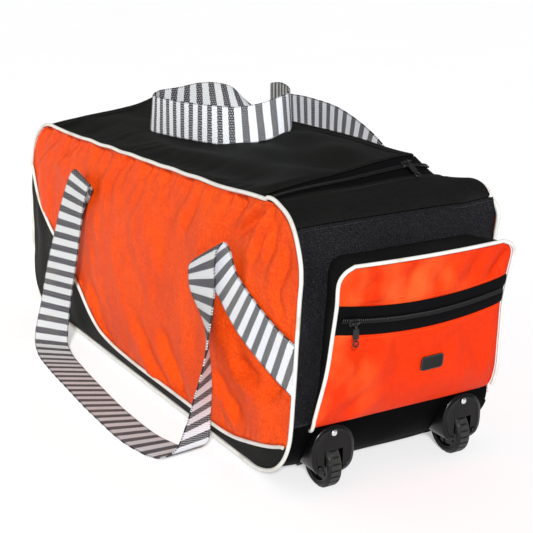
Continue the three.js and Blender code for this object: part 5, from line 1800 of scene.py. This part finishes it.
@dataclass
class WheelCorner:
    """Housing, wheel and rivets of one corner."""

    hand: Hand
    x: float = 440
    out: float = 100
    radius: float = 33
    width: float = 20
    well_r: float = 36.5
    well_width: float = 27
    wall: float = 3
    face: float = 466
    back: float = 392
    half: float = 31
    top: float = 91
    drop: float = 34
    shell_gap: float = 3.8
    cup_gap: float = 4.8
    flange_r: float = 4.0
    dome_r: float = 3.7
    flange: float = 0.7
    dome: float = 1.6
    foot_rivet: tuple[float, float] = (19, 36)
    tread_steps: int = 96
    disc_steps: int = 60

    @property
    def y(self) -> float:
        """Middle of the wheel."""
        return self.hand.value * self.out

    def bar(self, radius: float, length: float) -> Piece:
        """Round bar on the wheel's axis, in mm."""
        return cylinder("wheel_bar", radius, length, (self.x, self.y, self.radius), "Y", 48)

    def inside(self, spread: float) -> Piece:
        """Everything inside the outline of the long sides, spread out by a distance, across the wheel."""
        place = np.linspace(0.2, 2.9, 60)
        x, z = FORM.outline(place)
        out_x, out_z = FORM.outward(place)
        line = np.vstack([np.stack([x + out_x * spread, z + out_z * spread], axis=1), [[-200, 270]]])
        count = len(line)
        deselect()
        bpy.ops.mesh.primitive_circle_add(vertices=count, radius=1, fill_type="NGON")
        piece = bpy.context.object
        put(piece, points_of(line[:, 0], np.full(count, self.y - 80), line[:, 1]))
        with editing(piece):
            bpy.ops.mesh.extrude_region_move(TRANSFORM_OT_translate={"value": (0, 160 * MM, 0)})
        face_out(piece)
        return piece

    def housing(self) -> Piece:
        """Rounded cap over the wheel, with a raised line on its face and the well behind it."""
        middle = self.top - self.half
        centre = ((self.face + self.back) / 2, self.y, middle)
        piece = cylinder(f"{self.hand.word}_housing_shell", self.half, self.face - self.back, centre, "X", 72)
        points = places(piece)
        side, up = (points[:, 1] - self.y) / self.half, (points[:, 2] - middle) / self.half
        lower = up < 0
        points[lower, 1] = self.y + self.half * np.sign(side[lower]) * np.abs(side[lower]) ** 0.6
        points[lower, 2] = middle - self.drop * np.abs(up[lower]) ** 0.6
        put(piece, points)
        with editing(piece, lambda face: face.normal.x > 0.9):
            inset((1.4, 0.9), (2.2, 0.5), (1.0, 0.7), (1.0, 0), (1.0, -0.9))
            for lift in (0.5, 0.3):
                bpy.ops.mesh.extrude_region_move(TRANSFORM_OT_translate={"value": (lift * MM, 0, 0)})
                bpy.ops.transform.resize(value=(1, 0.6, 0.6))
        points = places(piece)
        points[:, 0] -= np.where(points[:, 0] > self.face - 1, 1.6, 0)
        put(piece, points)
        modify(piece, "BEVEL", width=0.7 * MM, segments=2, limit_method="ANGLE", angle_limit=math.radians(28))
        combine(piece, self.inside(self.shell_gap), "DIFFERENCE")
        cup = self.bar(self.well_r + self.wall, self.well_width + 2 * self.wall)
        combine(cup, self.inside(self.cup_gap), "INTERSECT")
        combine(piece, cup, "UNION")
        combine(piece, self.bar(self.well_r, self.well_width), "DIFFERENCE")
        smooth(piece, 35)
        return piece

    def turned(self, name: str, section: Sequence[tuple[float, float]], steps: int) -> Piece:
        """Piece turned about the wheel's axis from a closed section of radius and width, in mm."""
        deselect()
        bpy.ops.mesh.primitive_circle_add(vertices=len(section), radius=1)
        piece = named(name)
        line = np.array(section)
        put(piece, points_of(self.x + line[:, 0], self.y + line[:, 1], np.full(len(line), self.radius)))
        centre = (self.x * MM, self.y * MM, self.radius * MM)
        with editing(piece):
            bpy.ops.mesh.spin(steps=steps, angle=2 * math.pi, center=centre, axis=(0, 1, 0))
        face_out(piece)
        return piece

    def polar(self, face: bmesh.types.BMFace, steps: int) -> tuple[float, float, int]:
        """Place of a face of a turned piece.

        Args:
            face: The face.
            steps: Steps in which the piece was turned.

        Returns:
            Its reach from the axis and its distance from the wheel's middle, in mm, and the number of its step.
        """
        middle = face.calc_center_median()
        x, z = middle.x - self.x * MM, middle.z - self.radius * MM
        step = math.floor((math.atan2(z, x) / (2 * math.pi) * steps) % steps)
        return math.hypot(x, z) / MM, middle.y / MM - self.y, step

    def tyre(self) -> Piece:
        """Tyre with blocks round its tread and a mould line on one shoulder."""
        half, rim = self.width / 2, self.radius
        line = half - 2.6
        section = [
            (24.5, -half + 1), (27, -half), (rim - 4.2, -half), (rim - 2.2, -half + 1.4),
            (rim - 1.1, -half + 3), (rim - 1.1, 0), (rim - 1.1, line - 0.7), (rim - 0.5, line - 0.3),
            (rim - 0.5, line + 0.3), (rim - 1.5, line + 0.6), (rim - 2.2, half - 1.4),
            (rim - 4.2, half), (27, half), (24.5, half - 1),
        ]
        piece = self.turned(f"{self.hand.word}_tyre", section, self.tread_steps)

        def on_block(face: bmesh.types.BMFace) -> bool:
            """True on the tread, apart from a gap after every third step."""
            reach, wide, step = self.polar(face, self.tread_steps)
            return reach > rim - 1.6 and -half + 1.5 < wide < line - 0.8 and step % 4 != 3

        with editing(piece, on_block):
            inset((0.25, 1.0))
        points = places(piece)
        reach = np.hypot(points[:, 0] - self.x, points[:, 2] - self.radius)
        wide = points[:, 1] - self.y
        mark_points(piece, "wear", 0.8 * bell(wide, line, 0.5) * (reach > rim - 2) + 0.25 * (reach > rim - 0.3))
        smooth(piece, 35)
        return piece

    def disc(self) -> Piece:
        """Wheel disc with a hub, a dished web and lightening pockets."""
        half = self.width / 2
        section = [
            (3.3, -half - 0.6), (6.5, -half - 0.6), (7.4, -half + 0.4), (8.2, -half + 2.6), (22.4, -half + 3.2),
            (23.4, -half + 1.4), (25.2, -half + 1), (25.2, half - 1), (23.4, half - 1.4), (22.4, half - 3.2),
            (8.2, half - 2.6), (7.4, half - 0.4), (6.5, half + 0.6), (3.3, half + 0.6),
        ]
        piece = self.turned(f"{self.hand.word}_wheel_disc", section, self.disc_steps)

        def in_pocket(face: bmesh.types.BMFace) -> bool:
            """True on the web, apart from its spokes."""
            reach, _, step = self.polar(face, self.disc_steps)
            return 9 < reach < 22 and abs(face.normal.y) > 0.8 and step % 10 > 2

        with editing(piece, in_pocket):
            inset((0.8, -1.6))
        smooth(piece, 35)
        return piece

    def rivet(self, name: str, y: float, z: float) -> Piece:
        """Domed rivet with a flange, on the housing's face."""
        deselect()
        bpy.ops.mesh.primitive_uv_sphere_add(segments=28, ring_count=14, radius=1)
        piece = named(name)
        points = places(piece) * MM
        around, tall = np.hypot(points[:, 0], points[:, 1]), points[:, 2]
        radius = np.where(tall < -0.3, self.flange_r, self.dome_r * np.clip(around, 0, 1))
        radius = np.where(tall < -0.9, 0.0, radius)
        lift = np.where(tall > -0.6, self.flange, 0.0)
        lift = np.where(tall > -0.3, self.flange + self.dome * np.clip(tall + 0.3, 0, 2) / 1.3, lift)
        scale = radius / np.maximum(around, 1e-6)
        put(piece, points_of(self.face + 0.5 + lift, y + points[:, 0] * scale, z + points[:, 1] * scale))
        face_out(piece)
        smooth(piece, 40)
        return piece

    def build(self) -> None:
        """Makes and dresses the corner."""
        word = self.hand.word
        keep(self.housing(), Kit.PLASTIC, "bag", f"{word}_wheel_housing")
        keep(self.tyre(), Kit.TYRE, f"{word}_wheel", f"{word}_wheel")
        keep(self.disc(), Kit.PLASTIC, f"{word}_wheel")
        keep(self.rivet(f"{word}_top_stud", self.y, self.top - 10), Kit.STEEL, "bag", f"{word}_top_rivet")
        beside, foot_z = self.foot_rivet
        foot_y = self.hand.value * (self.out + beside)
        keep(self.rivet(f"{word}_foot_stud", foot_y, foot_z), Kit.BLACKED, "bag", f"{word}_foot_rivet")
        Kit.STEEL.dress(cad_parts[f"{word}_axle"])


@dataclass(frozen=True)
class StrapRow:
    """One row of a strap, with its two edges.

    Without y the row is sewn on the side, with a rise it stands on the lid.
    """

    px: float
    pz: float
    qx: float
    qz: float
    py: float | None = None
    qy: float | None = None
    rise: float | None = None


def sewn(px: float, pz: float, qx: float, qz: float) -> StrapRow:
    """Row that is sewn on the side of the bag."""
    return StrapRow(px, pz, qx, qz)


def loose(px: float, py: float, pz: float, qx: float, qy: float, qz: float) -> StrapRow:
    """Row of a free stretch."""
    return StrapRow(px, pz, qx, qz, py, qy)


def stood(px: float, py: float, qx: float, qy: float, rise: float) -> StrapRow:
    """Row that stands on the lid."""
    return StrapRow(px, 0.0, qx, rise, py, qy, rise)


@dataclass
class Handle:
    """Striped webbing handle: two sewn legs and a loose loop."""

    hand: Hand
    rows: tuple[StrapRow, ...]
    width: float = Kit.WEBBING.value.width
    thick: float = 2.4
    sewn_off: float = 1.7
    steps: int = 14

    def edge(self, first: bool) -> SmoothCurve:
        """Curve of one edge of the strap."""
        points = []
        for row in self.rows:
            x, y, z = (row.px, row.py, row.pz) if first else (row.qx, row.qy, row.qz)
            if y is None:
                y = self.hand.value * (float(FORM.side_face([x], [z])[0]) + self.sewn_off + self.thick / 2)
            elif row.rise is not None:
                z = float(FORM.lid_level([row.px], [row.py])[0]) + self.sewn_off + z
            points.append((x, y, z))
        return SmoothCurve(points)

    def build(self) -> None:
        """Makes and dresses the strap."""
        first, second = self.edge(True), self.edge(False)
        count = (len(self.rows) - 1) * self.steps + 1
        share = np.linspace(0, 1, count)
        p, q = first.at(share), second.at(share)
        middle = (p + q) / 2
        over = unit(q - p)
        reach = np.maximum(self.width / 2, np.linalg.norm(q - p, axis=1) / 2)
        forward = unit(np.gradient(middle, axis=0))
        off = unit(np.cross(forward, over))
        run = lengths_along(middle)
        across = np.linspace(-1, 1, 15)
        flank, lip = np.ones(2), np.array([0.35, -0.35])
        crest = np.where(np.abs(across) > 0.99, 0.75, 1)
        face = np.concatenate([across, flank, across[::-1], -flank])
        rise = np.concatenate([crest, lip, -crest, -lip])
        selvedge = 1 + 0.006 * np.sin(run * 2 * np.pi / Kit.WEBBING.value.bead)
        sections = (
            middle[:, None]
            + over[:, None] * (face[None, :, None] * reach[:, None, None] * selvedge[:, None, None])
            + off[:, None] * (rise[None, :, None] * self.thick / 2)
        )
        piece = sweep(f"{self.hand.word}_handle_webbing", sections, False)
        size = len(face)
        threads = np.zeros((count, size, 2))
        threads[:, :, 0] = (face + 1) * self.width / 2
        cut = 1 - ramp(run, 50, 120) + ramp(run, run[-1] - 120, run[-1] - 50)
        slant = cut * reach * np.einsum("ij,ij->i", over, forward)
        threads[:, :, 1] = run[:, None] + face[None, :] * slant[:, None]
        lay_threads(piece, threads.reshape(-1, 2))
        mark_points(piece, "back", np.tile((rise > 0).astype(float), count))
        keep(piece, Kit.WEBBING, "bag", f"{self.hand.word}_handle")


WHEEL_LEG = (
    sewn(459, 138, 461, 204), sewn(408, 160, 432, 215), sewn(350, 189, 378, 240), sewn(300, 221, 338, 264),
)
NEAR_ROWS = (
    *WHEEL_LEG, loose(266, -172, 248, 322, -166, 292), loose(258, -182, 262, 317, -170, 301),
    loose(252, -188, 254, 308, -176, 288), loose(250, -186, 226, 300, -178, 232),
    loose(272, -178, 178, 320, -196, 184), loose(284, -178, 140, 328, -208, 146),
    loose(288, -178, 98, 322, -218, 102), loose(280, -176, 50, 306, -226, 52),
    loose(288, -184, 20, 300, -238, 22), loose(272, -196, 4, 276, -252, 5), loose(225, -218, 3, 228, -271, 8),
    loose(120, -226, 3, 120, -276, 12), loose(0, -221, 3, -4, -271, 12), loose(-80, -216, 3, -90, -264, 10),
    loose(-148, -208, 4, -172, -254, 8), loose(-186, -201, 14, -218, -241, 18),
    loose(-179, -194, 76, -226, -225, 80), loose(-160, -189, 142, -209, -217, 145),
    loose(-144, -184, 206, -196, -204, 208), loose(-134, -180, 254, -186, -191, 262),
    loose(-123, -174, 286, -172, -179, 303), loose(-133, -167, 276, -179, -168, 296),
    sewn(-160, 239, -196, 281), sewn(-196, 205, -232, 248), sewn(-222, 180, -254, 225),
)
FAR_ROWS = (
    *WHEEL_LEG, loose(213, 170, 281, 249, 166, 324), loose(136, 166, 326, 162, 163, 375),
    loose(56, 164, 348, 66, 160, 403), loose(-30, 162, 352, -28, 159, 407),
    loose(-82, 160, 351, -82, 157, 406), loose(-102, 148, 361, -101, 146, 413),
    loose(-84, 128, 368, -84, 128, 422), stood(-10, 104, -14, 106, 55), stood(70, 74, 58, 78, 54),
    stood(102, 44, 80, 52, 52), stood(104, 8, 78, 16, 49), stood(78, -23, 56, -14, 50),
    stood(-10, -46, -10, -44, 55), stood(-90, -56, -92, -54, 55), stood(-152, -54, -152, -48, 54),
    stood(-178, -30, -176, -24, 54), stood(-164, -2, -158, 2, 54), stood(-130, 38, -146, 42, 51),
    stood(-98, 74, -134, 80, 40), stood(-72, 104, -124, 106, 12), loose(-56, 132, 366, -112, 132, 367),
    loose(-52, 150, 361, -108, 150, 361), loose(-58, 162, 342, -109, 161, 357),
    loose(-88, 164, 306, -124, 163, 349), sewn(-134, 261, -170, 304), sewn(-190, 210, -226, 253),
    sewn(-222, 180, -254, 225),
)


@dataclass
class Studio:
    """Camera, floor and soft light."""

    eye: tuple[float, float, float] = (1.6648, -0.8767, 0.7232)
    azimuth: float = 60.36
    elevation: float = 16.72
    roll: float = -0.23
    lens: float = 85.14
    sensor: float = 36.0
    floor_glow: float = 0.42
    sky: float = 0.32
    aim: tuple[float, float, float] = (0.05, 0, 0.18)

    def camera(self) -> None:
        """Sets the camera at the photograph's viewing angle."""
        a, e, r = (math.radians(value) for value in (self.azimuth, self.elevation, self.roll))
        back = Vector((math.sin(a) * math.cos(e), -math.cos(a) * math.cos(e), math.sin(e)))
        right = Vector((math.cos(a), math.sin(a), 0))
        up = back.cross(right)
        turned_right = right * math.cos(r) + up * math.sin(r)
        turned_up = up * math.cos(r) - right * math.sin(r)
        data = bpy.data.cameras.new("view")
        data.lens, data.sensor_width = self.lens, self.sensor
        view = bpy.data.objects.new("view", data)
        bpy.context.scene.collection.objects.link(view)
        turn = Matrix((turned_right, turned_up, back)).transposed()
        view.matrix_world = Matrix.Translation(Vector(self.eye)) @ turn.to_4x4()
        bpy.context.scene.camera = view

    def floor(self) -> None:
        """Pale floor, and a pale world round it."""
        deselect()
        bpy.ops.mesh.primitive_plane_add(size=60.0)
        ground = named("studio_floor")
        paint = Painter("studio_floor")
        colour = paint.blend((0.59, 0.59, 0.6, 1), (0.61, 0.61, 0.62, 1), paint.noise(0.6, 2))
        roughness = 0.6 + 0.2 * paint.noise(0.4, 2)
        paint.finish(colour, roughness, None, 0.0, Specular_IOR_Level=0.2, Emission_Strength=self.floor_glow)
        ground.data.materials.append(paint.material)
        world = bpy.data.worlds.new("studio")
        bpy.context.scene.world = world
        world.use_nodes = True
        sky = world.node_tree.nodes["Background"]
        sky.inputs["Color"].default_value = (1, 1, 1, 1)
        sky.inputs["Strength"].default_value = self.sky

    def light(
        self, name: str, place: Sequence[float], size: float, power: float, tint: Sequence[float],
    ) -> None:
        """Soft square lamp turned to the bag."""
        deselect()
        bpy.ops.object.light_add(type="AREA", location=place)
        lamp = bpy.context.object
        lamp.name = name
        lamp.data.shape, lamp.data.size, lamp.data.energy, lamp.data.color = "SQUARE", size, power, tint
        aim = Vector(self.aim) - Vector(place)
        lamp.rotation_euler = aim.to_track_quat("-Z", "Y").to_euler()

    def sun(self, azimuth: float, elevation: float, spread: float, power: float) -> None:
        """Even soft key light from a direction, in degrees."""
        deselect()
        bpy.ops.object.light_add(type="SUN", location=(0, 0, 3))
        lamp = bpy.context.object
        lamp.name = "key"
        lamp.data.angle, lamp.data.energy = math.radians(spread), power
        lamp.rotation_euler = (math.radians(90 - elevation), 0, math.radians(azimuth))

    def build(self) -> None:
        """Sets the stage."""
        self.camera()
        self.floor()
        self.sun(azimuth=61, elevation=28, spread=7, power=4.4)
        self.light("fill", place=(-1.8, -1.5, 1.0), size=1.1, power=10, tint=(1, 0.78, 0.45))
        bpy.context.scene.view_settings.view_transform = "Standard"


def main() -> None:
    """Builds the bag in order."""
    logging.basicConfig(level=logging.INFO, format="%(message)s")
    Studio().build()
    for hand in Hand:
        LongSide(hand).build()
    WrapCloth().build()
    ZippedTop().build()
    EndPocket().build()
    for hand in Hand:
        WheelCorner(hand).build()
    Handle(Hand.NEAR, NEAR_ROWS).build()
    Handle(Hand.FAR, FAR_ROWS).build()


if __name__ == "__main__":
    main()
